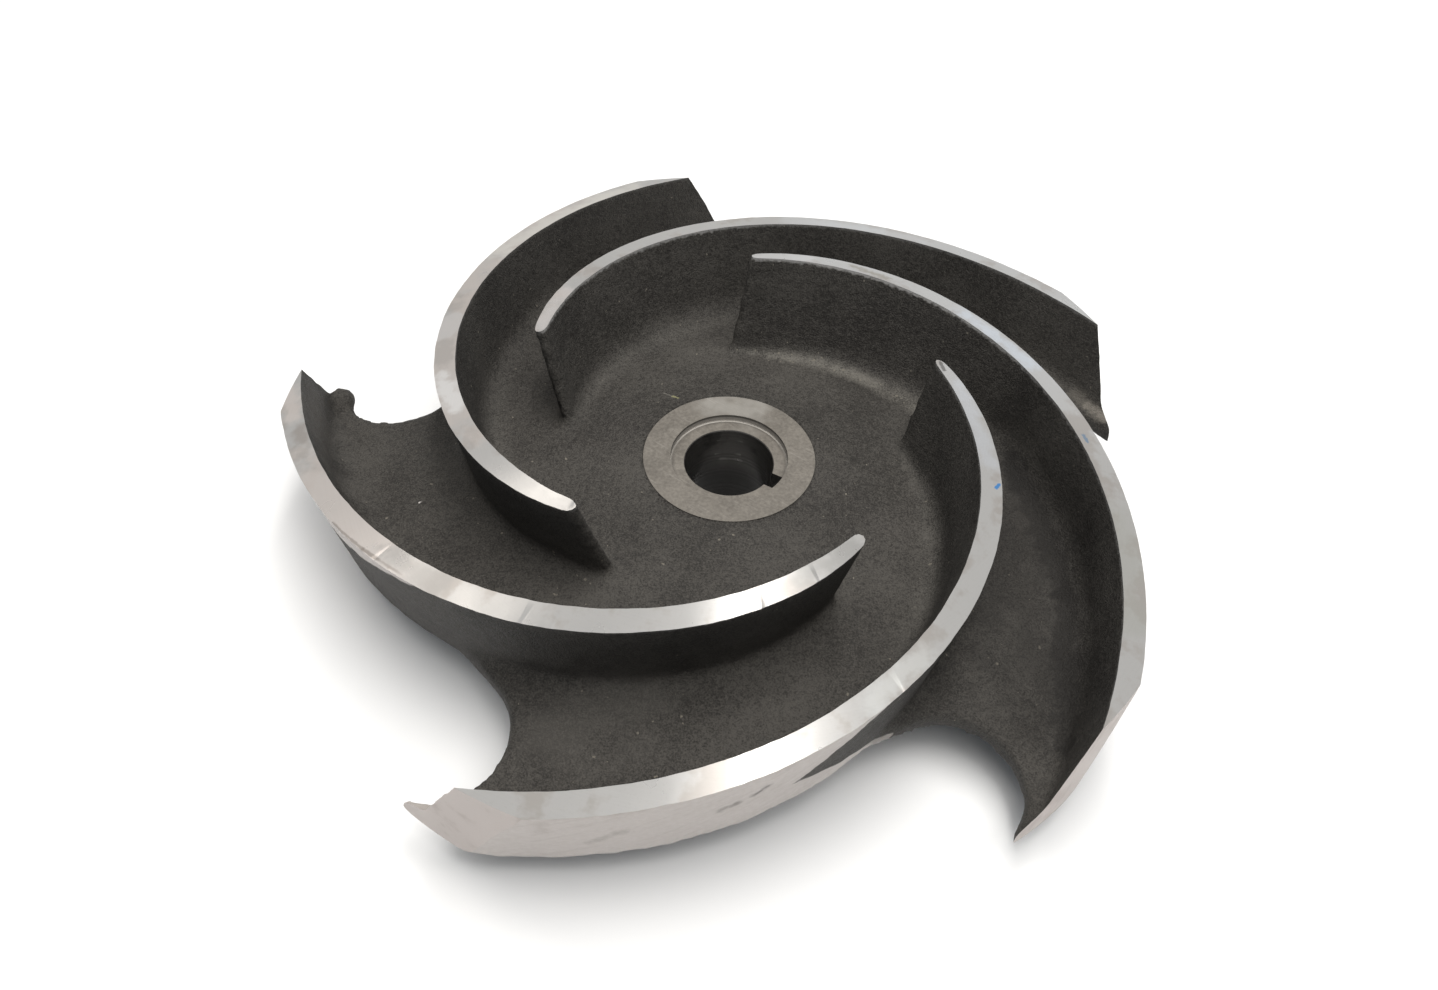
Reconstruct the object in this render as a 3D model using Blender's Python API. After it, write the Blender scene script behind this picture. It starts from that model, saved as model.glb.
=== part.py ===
"""Semi-open centrifugal pump impeller, one casting with a machined hub, rim and vane tops.

Lengths are in metres and angles in degrees. The origin is on the bore axis, on the rear
face of the hub, and +Z points to the suction side, where the vanes stand open. The vanes
sweep clockwise, seen from the suction side, on their way from the eye to the rim.
"""

import math

import bmesh
import bpy
from mathutils import Matrix, Vector

# Sizes turned on the lathe
RIM_RADIUS = 0.15875
BORE_RADIUS = 0.015875
HUB_LENGTH = 0.045
HUB_FACE_RADIUS = 0.031
COUNTERBORE_RADIUS = 0.021
COUNTERBORE_DEPTH = 0.003
BORE_CHAMFER = 0.0008
TIP_CONE_RADIUS = 0.0745
TIP_CONE_HEIGHT = 0.0317
TIP_CONE_SLOPE = 0.2686

# Keyway, a quarter-inch key
KEYWAY_WIDTH = 0.00635
KEYWAY_REACH = 0.0200
KEYWAY_ANGLE = -26.6

# Back shroud, a shallow cone that falls towards the rim
SHROUD_STEP = 0.0005
SHROUD_SLOPE = 0.185
SHROUD_THICKNESS = 0.0078
REAR_BOSS_RADIUS = 0.031
REAR_BOSS_ROOT_RADIUS = 0.035
REAR_BOSS_FILLET = 0.006
# The fillet's curve, as shares of its size outwards and down from the boss's root
REAR_FILLET_CURVE = ((1.0, 0.0), (0.3, 0.3), (-0.1, 1.2))

# Vanes: where each centreline runs, at its tip and at its foot under the shroud
VANE_COUNT = 5
FIRST_VANE_ANGLE = 27.0
TIP_NOSE_RADIUS = 0.0745
TIP_RIM_ANGLE = 4.2
TIP_WRAP = 157.0
TIP_EYE_WRAP = 19.0
FOOT_RIM_ANGLE = -3.5
FOOT_WRAP = 146.0
VANE_THICKNESS = 0.0082
NOSE_THICKNESS = 0.0050
NOSE_TAPER_LENGTH = 0.030
ROOT_FILLET = 0.009
CONVEX_FILLET_FADE = (0.096, 0.112)
CONCAVE_FILLET_FADE = (0.138, 0.1588)
CONCAVE_LEDGE = 0.0035
LEAST_FILLET = 0.0005
# Heights of the fillet's rings, as shares of its size
FILLET_RINGS = (0.0, 0.08, 0.35, 1.0)

# What differs from vane to vane of this casting, in the order of their angles: where the foot's
# nose ends, and how many degrees the vane lies off its nominal place at the rim, midway and at
# the nose
FOOT_NOSE_RADII = (0.0618, 0.0610, 0.0640, 0.0640, 0.0640)
VANE_SCATTER = (
    (0.1, -2.8, 0.8),
    (-0.6, -1.1, -2.6),
    (0.3, -1.3, 2.0),
    (-0.2, 1.5, 0.4),
    (0.2, 4.0, -1.0),
)
MIDWAY_SWELL = 0.8

# Bays cut out of the shroud between the vanes
BAY_RADIUS = 0.0235
BAY_CENTRE_RADIUS = 0.1380
BAY_CENTRE_ANGLE = -12.5
BAY_INSET = 0.0015
BAY_START_RADIUS = 0.112
# Where the bay's cutter runs on, outside the rim
BAY_CLEAR_RADIUS = 0.200
BAY_CLEAR_ANGLE = 40.0

# How finely the shapes are cut, and how far one shape runs past another
TURN_SEGMENTS = 80
BAY_SEGMENTS = 32
VANE_STATIONS = 20
NOSE_STEPS = 4
OVERCUT = 0.006
STOCK_RADIUS = RIM_RADIUS + OVERCUT
SHORT_STEP = 0.001


def clear_scene():
    """Remove every object of the open file."""
    for item in list(bpy.data.objects):
        bpy.data.objects.remove(item, do_unlink=True)


def metal(name, colour, roughness, metallic):
    """Return a plain metal material."""
    material = bpy.data.materials.new(name)
    material.use_nodes = True
    shader = material.node_tree.nodes["Principled BSDF"]
    shader.inputs["Base Color"].default_value = (*colour, 1.0)
    shader.inputs["Roughness"].default_value = roughness
    shader.inputs["Metallic"].default_value = metallic
    material.diffuse_color = (*colour, 1.0)
    return material


def mesh_object(name, mesh_builder):
    """Turn a bmesh into an object of the scene."""
    bmesh.ops.recalc_face_normals(mesh_builder, faces=mesh_builder.faces)
    mesh = bpy.data.meshes.new(name)
    mesh_builder.to_mesh(mesh)
    mesh_builder.free()
    item = bpy.data.objects.new(name, mesh)
    bpy.context.collection.objects.link(item)
    return item


def turned(name, profile):
    """Spin a closed profile of (radius, height) points around the bore axis."""
    builder = bmesh.new()
    verts = [builder.verts.new((radius, 0.0, height)) for radius, height in profile]
    edges = [builder.edges.new((a, b)) for a, b in zip(verts, verts[1:] + verts[:1])]
    bmesh.ops.spin(
        builder,
        geom=verts + edges,
        cent=(0.0, 0.0, 0.0),
        axis=(0.0, 0.0, 1.0),
        angle=math.tau,
        steps=TURN_SEGMENTS,
        use_merge=True,
    )
    return mesh_object(name, builder)


def combine(target, others, operation):
    """Join, cut or intersect the target with other objects, then drop those."""
    for other in others:
        modifier = target.modifiers.new("combine", "BOOLEAN")
        modifier.operation = operation
        modifier.solver = "EXACT"
        modifier.object = other
    graph = bpy.context.evaluated_depsgraph_get()
    result = bpy.data.meshes.new_from_object(target.evaluated_get(graph))
    target.modifiers.clear()
    target.data = result
    for other in others:
        bpy.data.objects.remove(other, do_unlink=True)


def shroud_front(radius):
    """Height of the shroud's front face at a radius."""
    return HUB_LENGTH - SHROUD_STEP - SHROUD_SLOPE * (radius - HUB_FACE_RADIUS)


def shroud_back(radius):
    """Height of the shroud's rear face at a radius."""
    return shroud_front(radius) - SHROUD_THICKNESS


def tip_cone(radius):
    """Height of the turned vane tips at a radius."""
    return HUB_LENGTH + TIP_CONE_HEIGHT - TIP_CONE_SLOPE * (radius - TIP_CONE_RADIUS)


def bore_profile():
    """Profile points up the bore and out over the counterbore to the hub face."""
    floor = HUB_LENGTH - COUNTERBORE_DEPTH
    return [
        (BORE_RADIUS + BORE_CHAMFER, 0.0),
        (BORE_RADIUS, BORE_CHAMFER),
        (BORE_RADIUS, floor - BORE_CHAMFER),
        (BORE_RADIUS + BORE_CHAMFER, floor),
        (COUNTERBORE_RADIUS, floor),
        (COUNTERBORE_RADIUS, HUB_LENGTH),
        (HUB_FACE_RADIUS, HUB_LENGTH),
    ]


def rear_profile(edge_radius):
    """Profile points down the shroud's rear face and the boss, from a radius inwards."""
    points = [(edge_radius, shroud_back(edge_radius))]
    for out, down in REAR_FILLET_CURVE:
        radius = REAR_BOSS_ROOT_RADIUS + out * REAR_BOSS_FILLET
        points.append((radius, shroud_back(radius) - down * REAR_BOSS_FILLET))
    points.append((REAR_BOSS_RADIUS, BORE_CHAMFER))
    points.append((REAR_BOSS_RADIUS - BORE_CHAMFER, 0.0))
    return points


def hub_and_shroud():
    """The hub and the full round shroud, before the bays are cut."""
    profile = bore_profile()
    profile.append((HUB_FACE_RADIUS, shroud_front(HUB_FACE_RADIUS)))
    profile.append((STOCK_RADIUS, shroud_front(STOCK_RADIUS)))
    profile.extend(rear_profile(STOCK_RADIUS))
    return turned("impeller", profile)


def machining_envelope():
    """The space that the lathe leaves: inside the rim, under the tip cone, in front of the back."""
    profile = bore_profile()
    profile.append((HUB_FACE_RADIUS, tip_cone(HUB_FACE_RADIUS)))
    profile.append((RIM_RADIUS, tip_cone(RIM_RADIUS)))
    profile.extend(rear_profile(RIM_RADIUS))
    return turned("machining_envelope", profile)


def polar(radius, angle):
    """A point in plan from a radius and an angle in degrees."""
    turn = math.radians(angle)
    return Vector((radius * math.cos(turn), radius * math.sin(turn)))


def drift(scatter, inward):
    """How far a vane lies off its nominal angle, from 0 at the rim to 1 inward at the nose."""
    rim, midway, nose = scatter
    swell = math.sin(MIDWAY_SWELL * math.pi * inward * abs(inward))
    return rim * (1.0 - inward) ** 2 + midway * swell + nose * inward**4


def tip_angle(radius, number):
    """Angle of the vane's centreline at its tip, from the rim corner of that vane."""
    wrap = math.log(RIM_RADIUS / radius)
    inward = (RIM_RADIUS - radius) / (RIM_RADIUS - TIP_NOSE_RADIUS)
    straight = TIP_RIM_ANGLE + TIP_WRAP * wrap + TIP_EYE_WRAP * wrap**3
    return straight + drift(VANE_SCATTER[number], inward)


def foot_angle(radius, number):
    """Angle of the vane's centreline at its foot, from the rim corner of that vane."""
    inward = (RIM_RADIUS - radius) / (RIM_RADIUS - FOOT_NOSE_RADII[number])
    straight = FOOT_RIM_ANGLE + FOOT_WRAP * math.log(RIM_RADIUS / radius)
    return straight + drift(VANE_SCATTER[number], inward)


def side_offsets(start_radius, angle_law, number):
    """Plan points round the vane at one level, as (centre, outward normal, half thickness).

    The loop runs in along the concave side, round the nose and out along the convex side.
    """
    reach = STOCK_RADIUS - start_radius
    radii = [start_radius + reach * step / VANE_STATIONS for step in range(VANE_STATIONS + 1)]
    centres = [polar(radius, angle_law(radius, number)) for radius in radii]
    stations = []
    travelled = 0.0
    for index, centre in enumerate(centres):
        before = centres[max(index - 1, 0)]
        after = centres[min(index + 1, VANE_STATIONS)]
        along = (after - before).normalized()
        travelled += (centre - before).length
        growth = min(travelled / NOSE_TAPER_LENGTH, 1.0)
        half = 0.5 * (NOSE_THICKNESS + (VANE_THICKNESS - NOSE_THICKNESS) * math.sin(0.5 * math.pi * growth))
        stations.append((centre, Vector((along.y, -along.x)), half))
    loop = list(reversed(stations))
    nose, normal, half = stations[0]
    for step in range(1, NOSE_STEPS):
        turn = Matrix.Rotation(-math.pi * step / NOSE_STEPS, 2)
        loop.append((nose, turn @ normal, half))
    loop.extend((centre, -normal, half) for centre, normal, half in stations)
    return loop


def fillet_width(radius, convex):
    """Width of the root fillet: full near the hub, less where the shroud ends at the vane."""
    start, end = CONVEX_FILLET_FADE if convex else CONCAVE_FILLET_FADE
    narrow = 0.0 if convex else CONCAVE_LEDGE
    fade = min(max((radius - start) / (end - start), 0.0), 1.0)
    return ROOT_FILLET + (narrow - ROOT_FILLET) * fade


def vane(number):
    """One vane, lofted from under the shroud to over the tip cone, with its root fillets."""
    tips = side_offsets(TIP_NOSE_RADIUS, tip_angle, number)
    feet = side_offsets(FOOT_NOSE_RADII[number], foot_angle, number)
    spin = Matrix.Rotation(math.radians(FIRST_VANE_ANGLE + number * 360.0 / VANE_COUNT), 4, "Z")
    builder = bmesh.new()
    loops = [[] for _ in range(len(FILLET_RINGS) + 2)]
    for index, (tip, foot) in enumerate(zip(tips, feet)):
        tip_point = tip[0] + tip[1] * tip[2]
        foot_point = foot[0] + foot[1] * foot[2]
        top = tip_point.to_3d() + Vector((0.0, 0.0, tip_cone(tip_point.length)))
        bottom = foot_point.to_3d() + Vector((0.0, 0.0, shroud_back(foot_point.length)))
        rise = top - bottom
        width = fillet_width(foot_point.length, index > VANE_STATIONS)
        ledge = (foot[1] * width).to_3d()
        loops[0].append(bottom + ledge - rise * (OVERCUT / rise.z))
        for ring, share in enumerate(FILLET_RINGS):
            lift = SHROUD_THICKNESS + share * max(width, LEAST_FILLET)
            spread = width * (1.0 - math.sqrt(1.0 - (1.0 - share) ** 2))
            point = bottom + rise * (lift / rise.z) + (foot[1] * spread).to_3d()
            point.z += shroud_front(point.to_2d().length) - shroud_front(foot_point.length)
            loops[ring + 1].append(point)
        loops[-1].append(top + rise * (OVERCUT / rise.z))
    rings = [[builder.verts.new(spin @ point) for point in loop] for loop in loops]
    for low, high in zip(rings, rings[1:]):
        for index, vert in enumerate(low):
            after = (index + 1) % len(low)
            builder.faces.new((vert, low[after], high[after], high[index]))
    builder.faces.new(reversed(rings[0]))
    builder.faces.new(rings[-1])
    bmesh.ops.triangulate(builder, faces=builder.faces, quad_method="BEAUTY")
    return mesh_object(f"vane_{number}", builder)


def prism(name, outline, low, high):
    """An upright prism over a plan outline."""
    builder = bmesh.new()
    verts = [builder.verts.new((point.x, point.y, low)) for point in outline]
    face = builder.faces.new(verts)
    grown = bmesh.ops.extrude_face_region(builder, geom=[face])
    lifted = [item for item in grown["geom"] if isinstance(item, bmesh.types.BMVert)]
    bmesh.ops.translate(builder, verts=lifted, vec=(0.0, 0.0, high - low))
    return mesh_object(name, builder)


def bay_cutters(number):
    """The round bay in front of one vane's tip, and the strip along the next vane's foot."""
    base = FIRST_VANE_ANGLE + number * 360.0 / VANE_COUNT
    centre = polar(BAY_CENTRE_RADIUS, base + BAY_CENTRE_ANGLE)
    deepest = polar(BAY_CENTRE_RADIUS - BAY_RADIUS, base + BAY_CENTRE_ANGLE)
    turns = [360.0 * step / BAY_SEGMENTS for step in range(BAY_SEGMENTS)]
    round_bay = prism(
        f"bay_{number}", [centre + polar(BAY_RADIUS, turn) for turn in turns], 0.0, HUB_LENGTH
    )
    neighbour = base - 360.0 / VANE_COUNT
    previous = (number - 1) % VANE_COUNT
    reach = STOCK_RADIUS + OVERCUT - BAY_START_RADIUS
    radii = [BAY_START_RADIUS + reach * step / VANE_STATIONS for step in range(VANE_STATIONS + 1)]
    strip = []
    for radius in radii:
        further = radius + SHORT_STEP
        here = polar(radius, neighbour + foot_angle(radius, previous))
        ahead = polar(further, neighbour + foot_angle(further, previous))
        along = (ahead - here).normalized()
        strip.append(here + Vector((-along.y, along.x)) * (0.5 * VANE_THICKNESS - BAY_INSET))
    strip.append(polar(BAY_CLEAR_RADIUS, neighbour + BAY_CLEAR_ANGLE))
    strip.append(polar(BAY_CLEAR_RADIUS, base + BAY_CENTRE_ANGLE))
    strip.extend((centre, deepest))
    strip_bay = prism(f"strip_{number}", strip, -SHORT_STEP, HUB_LENGTH + SHORT_STEP)
    return [round_bay, strip_bay]


def keyway():
    """The key slot, from the front of the counterbore through the rear of the hub."""
    half = 0.5 * KEYWAY_WIDTH
    outline = [Vector((0.0, -half)), Vector((KEYWAY_REACH, -half))]
    outline += [Vector((KEYWAY_REACH, half)), Vector((0.0, half))]
    turn = Matrix.Rotation(math.radians(KEYWAY_ANGLE), 2)
    return prism("keyway", [turn @ point for point in outline], -OVERCUT, HUB_LENGTH + OVERCUT)


def main():
    """Build the impeller."""
    clear_scene()
    impeller = hub_and_shroud()
    bays = []
    for number in range(VANE_COUNT):
        bays.extend(bay_cutters(number))
    combine(impeller, bays, "DIFFERENCE")
    combine(impeller, [vane(number) for number in range(VANE_COUNT)], "UNION")
    combine(impeller, [machining_envelope()], "INTERSECT")
    combine(impeller, [keyway()], "DIFFERENCE")
    impeller.data.materials.clear()
    impeller.data.materials.append(metal("cast_iron", (0.10, 0.095, 0.09), 0.6, 0.7))
    impeller.data.shade_smooth()
    impeller.data.set_sharp_from_angle(angle=math.radians(30.0))


if __name__ == "__main__":
    main()
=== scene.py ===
"""Looks of a semi-open pump impeller: one iron casting with a turned hub, rim and vane tips.

Lengths are in metres and angles in degrees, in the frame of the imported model. The origin is on the
bore axis, on the rear face of the hub, and +Z points to the suction side, where the vanes stand
open. The casting is built as it is made: poured with stock on it, then turned, ground and keyed.
"""

import logging
import math
from dataclasses import dataclass
from enum import Enum, IntEnum

import bmesh
import bpy
from mathutils import Matrix, Vector


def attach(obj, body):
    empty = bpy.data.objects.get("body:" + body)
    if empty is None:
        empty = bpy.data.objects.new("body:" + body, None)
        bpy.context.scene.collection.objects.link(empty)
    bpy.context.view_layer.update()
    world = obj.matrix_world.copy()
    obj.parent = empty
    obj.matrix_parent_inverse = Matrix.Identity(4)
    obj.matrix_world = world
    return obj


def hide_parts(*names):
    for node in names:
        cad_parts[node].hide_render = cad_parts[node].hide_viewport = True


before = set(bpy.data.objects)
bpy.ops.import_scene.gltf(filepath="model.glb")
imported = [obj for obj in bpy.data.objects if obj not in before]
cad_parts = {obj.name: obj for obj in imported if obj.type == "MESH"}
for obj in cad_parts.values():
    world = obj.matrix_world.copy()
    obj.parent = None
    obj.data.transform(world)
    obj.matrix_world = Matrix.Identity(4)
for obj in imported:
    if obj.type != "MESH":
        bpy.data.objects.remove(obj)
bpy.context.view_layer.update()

PIECE = "impeller_body"
NODE = "impeller"
BODY = "root"

Range = tuple[float, float]

log = logging.getLogger("impeller")


class Surface(IntEnum):
    """Material slots of the casting, in their order."""

    CAST = 0
    TIP = 1
    RIM = 2
    HUB = 3
    BORE = 4


class Cut(Enum):
    """How one solid shapes another."""

    JOIN = "UNION"
    TAKE_OFF = "DIFFERENCE"
    KEEP_INSIDE = "INTERSECT"


class Blend(Enum):
    """How one colour is laid on another."""

    OVER = "MIX"
    SHADE = "MULTIPLY"


def polar(radius: float, angle: float) -> Vector:
    """Place a point in plan.

    Args:
        radius: Distance from the bore axis.
        angle: Angle from +X in degrees.

    Returns:
        The plan point.
    """
    turn = math.radians(angle)
    return Vector((radius * math.cos(turn), radius * math.sin(turn)))


def ramp(value: float, band: Range) -> float:
    """How far a value has come through a band.

    Args:
        value: The value.
        band: Where it starts and ends.

    Returns:
        0 before the band and 1 past it.
    """
    start, end = band
    return min(max((value - start) / (end - start), 0.0), 1.0)


@dataclass(frozen=True)
class LatheSizes:
    """Sizes that the lathe leaves, and the shroud's cast cone between them."""

    rim_radius: float = 0.15863
    bore_radius: float = 0.015875
    hub_length: float = 0.045
    hub_face_radius: float = 0.0307
    counterbore_radius: float = 0.021
    counterbore_depth: float = 0.003
    bore_chamfer: float = 0.0003
    tip_cone_radius: float = 0.0745
    tip_cone_height: float = 0.03165
    tip_cone_slope: float = 0.2686
    shroud_step: float = 0.0002
    shroud_slope: float = 0.185
    shroud_thickness: float = 0.0078
    stock: float = 0.006
    turn_steps: int = 288

    @property
    def stock_radius(self) -> float:
        """Radius of the casting before its rim is turned."""
        return self.rim_radius + self.stock

    def shroud_front(self, radius: float) -> float:
        """Height of the shroud's front face at a radius."""
        fall = self.shroud_slope * (radius - self.hub_face_radius)
        return self.hub_length - self.shroud_step - fall

    def shroud_back(self, radius: float) -> float:
        """Height of the shroud's rear face at a radius."""
        return self.shroud_front(radius) - self.shroud_thickness

    def tip_cone(self, radius: float) -> float:
        """Height of the turned vane tips at a radius."""
        rise = self.tip_cone_height - self.tip_cone_slope * (radius - self.tip_cone_radius)
        return self.hub_length + rise

    def spin(self, builder: bmesh.types.BMesh, profile: list[tuple[float, float]]) -> None:
        """Turn a closed profile into a solid of revolution.

        Args:
            builder: The mesh that receives the solid.
            profile: Points as (radius, height), in order.
        """
        verts = [builder.verts.new((radius, 0.0, height)) for radius, height in profile]
        edges = [builder.edges.new(pair) for pair in zip(verts, verts[1:] + verts[:1])]
        bmesh.ops.spin(
            builder,
            geom=verts + edges,
            cent=(0.0, 0.0, 0.0),
            axis=(0.0, 0.0, 1.0),
            angle=math.tau,
            steps=self.turn_steps,
            use_merge=True,
        )


def to_object(name: str, builder: bmesh.types.BMesh) -> bpy.types.Object:
    """Close a bmesh into an object of the scene.

    Args:
        name: The object's name.
        builder: The mesh, which is freed.

    Returns:
        The new object, with its faces pointing outwards.
    """
    bmesh.ops.recalc_face_normals(builder, faces=builder.faces)
    mesh = bpy.data.meshes.new(name)
    builder.to_mesh(mesh)
    builder.free()
    item = bpy.data.objects.new(name, mesh)
    bpy.context.scene.collection.objects.link(item)
    return item


def apply_modifiers(item: bpy.types.Object) -> None:
    """Replace an object's mesh by what its modifiers make of it.

    Args:
        item: The object whose modifiers are applied.
    """
    graph = bpy.context.evaluated_depsgraph_get()
    result = bpy.data.meshes.new_from_object(item.evaluated_get(graph))
    item.modifiers.clear()
    item.data = result


def combine(target: bpy.types.Object, others: list[bpy.types.Object], cut: Cut) -> None:
    """Shape an object by others, which are then dropped.

    Args:
        target: The object that is kept.
        others: The objects that shape it.
        cut: How they shape it.
    """
    for other in others:
        modifier = target.modifiers.new(other.name, "BOOLEAN")
        modifier.operation = cut.value
        modifier.solver = "MANIFOLD"
        modifier.object = other
    apply_modifiers(target)
    for other in others:
        bpy.data.objects.remove(other, do_unlink=True)


def extrude_up(builder: bmesh.types.BMesh, height: float, levels: int = 1) -> None:
    """Grow a flat mesh upwards into a block, level by level.

    Args:
        builder: The mesh, which is one flat sheet.
        height: How far each level stands over the one below.
        levels: How many levels are added.
    """
    cap = list(builder.faces)
    for level in range(levels):
        grown = bmesh.ops.extrude_face_region(builder, geom=cap)["geom"]
        lifted = [item for item in grown if isinstance(item, bmesh.types.BMVert)]
        bmesh.ops.translate(builder, verts=lifted, vec=(0.0, 0.0, height))
        if level > 0:
            bmesh.ops.delete(builder, geom=cap, context="FACES")
        cap = [item for item in grown if isinstance(item, bmesh.types.BMFace)]


def prism(name: str, outline: list[Vector], low: float, high: float) -> bpy.types.Object:
    """Stand an upright prism on a plan outline.

    Args:
        name: The object's name.
        outline: The plan points, in order.
        low: Height of its foot.
        high: Height of its top.

    Returns:
        The prism.
    """
    builder = bmesh.new()
    builder.faces.new([builder.verts.new((point.x, point.y, low)) for point in outline])
    extrude_up(builder, high - low)
    return to_object(name, builder)


@dataclass(frozen=True)
class VanePattern:
    """The vane as drawn, before the scatter of the casting.

    Its centreline is a spiral at the tip and another at the foot, and the wall between them is
    ruled. Angles run from the vane's own corner at the rim.
    """

    count: int = 5
    first_angle: float = 27.0
    tip_nose_radius: float = 0.0745
    tip_rim_angle: float = 4.2
    tip_wrap: float = 157.0
    tip_eye_wrap: float = 19.0
    foot_rim_angle: float = -3.5
    foot_wrap: float = 146.0
    thickness: float = 0.0076
    nose_thickness: float = 0.0040
    nose_taper_length: float = 0.027
    nose_fillet_share: float = 0.35
    nose_fillet_reach: float = 0.008
    concave_fillet_swell: tuple[float, float] = (0.088, 0.106)
    convex_fillet_fade: tuple[float, float] = (0.096, 0.112)
    concave_fillet_fade: tuple[float, float] = (0.138, 0.1588)
    concave_ledge: float = 0.0035
    least_fillet: float = 0.0005
    midway_swell: float = 0.8
    stations: int = 72
    nose_steps: int = 6
    fillet_rings: tuple[float, ...] = (0.0, 0.03, 0.12, 0.3, 0.6, 1.0)

    @property
    def pitch(self) -> float:
        """Angle from one vane to the next."""
        return 360.0 / self.count


@dataclass(frozen=True)
class GroundZone:
    """Where the hand grinder reached on a vane's convex side, in degrees behind its corner.

    Before the start the whole height is ground. Behind it a wedge of cast skin opens, whose upper
    edge rises to the tip and whose lower edge falls to the foot.
    """

    start: float
    height: float
    rise: float
    fall: float

    def inside(self, behind: float, height: float) -> float:
        """How far a point lies inside the ground face.

        Args:
            behind: Degrees behind the vane's corner at the rim.
            height: 0 at the foot and 1 at the tip.

        Returns:
            A share of the wall's height, 0 at the edge and less than 0 on the cast skin.
        """
        past = behind - self.start
        return max(height - self.height - self.rise * past, self.height - self.fall * past - height)


@dataclass(frozen=True)
class VaneCast:
    """How one vane came out of the mould, and how it was ground.

    The scatter is the degrees off the pattern at the rim, midway and at the nose. The fillets are
    the widths on the concave side near the eye, on it further out, and on the convex side. The toe
    is how far the concave face runs out at its foot, with the radius where it does so most and how
    far off it still does. The root lift is how far the vane's underside stands over the shroud's.
    The burr and the dust are how strongly they show.
    """

    tip_nose_radius: float
    foot_nose_radius: float
    scatter: tuple[float, float, float]
    fillets: tuple[float, float, float]
    zone: GroundZone
    burr: float
    dust: float
    toe: tuple[float, float, float] = (0.0, 0.1, 0.02)
    root_lift: float = 0.002


VANES_AS_CAST = (
    VaneCast(
        tip_nose_radius=0.0738,
        foot_nose_radius=0.0602,
        scatter=(0.1, -2.8, 0.8),
        fillets=(0.0085, 0.0085, 0.005),
        zone=GroundZone(30.0, 0.40, 0.045, 0.040),
        burr=0.45,
        dust=0.22,
        toe=(0.0045, 0.086, 0.022),
    ),
    VaneCast(
        tip_nose_radius=0.0737,
        foot_nose_radius=0.0603,
        scatter=(-0.6, -1.1, -2.6),
        fillets=(0.007, 0.007, 0.004),
        zone=GroundZone(28.0, 0.45, 0.050, 0.050),
        burr=0.20,
        dust=0.40,
    ),
    VaneCast(
        tip_nose_radius=0.0744,
        foot_nose_radius=0.0640,
        scatter=(0.3, -1.3, 2.0),
        fillets=(0.011, 0.011, 0.004),
        zone=GroundZone(20.5, 0.555, 0.0190, 1.0),
        burr=0.15,
        dust=0.45,
    ),
    VaneCast(
        tip_nose_radius=0.0743,
        foot_nose_radius=0.0640,
        scatter=(-0.2, 1.5, 0.4),
        fillets=(0.006, 0.006, 0.005),
        zone=GroundZone(31.7, 0.35, 0.0483, 0.031),
        burr=0.25,
        dust=0.4,
        root_lift=0.0003,
    ),
    VaneCast(
        tip_nose_radius=0.0753,
        foot_nose_radius=0.0614,
        scatter=(0.2, 4.0, -1.0),
        fillets=(0.0055, 0.0115, 0.005),
        zone=GroundZone(33.0, 0.35, 0.045, 0.035),
        burr=0.60,
        dust=1.5,
        toe=(0.0060, 0.083, 0.0220),
    ),
)

Station = tuple[Vector, Vector, float]


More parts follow.
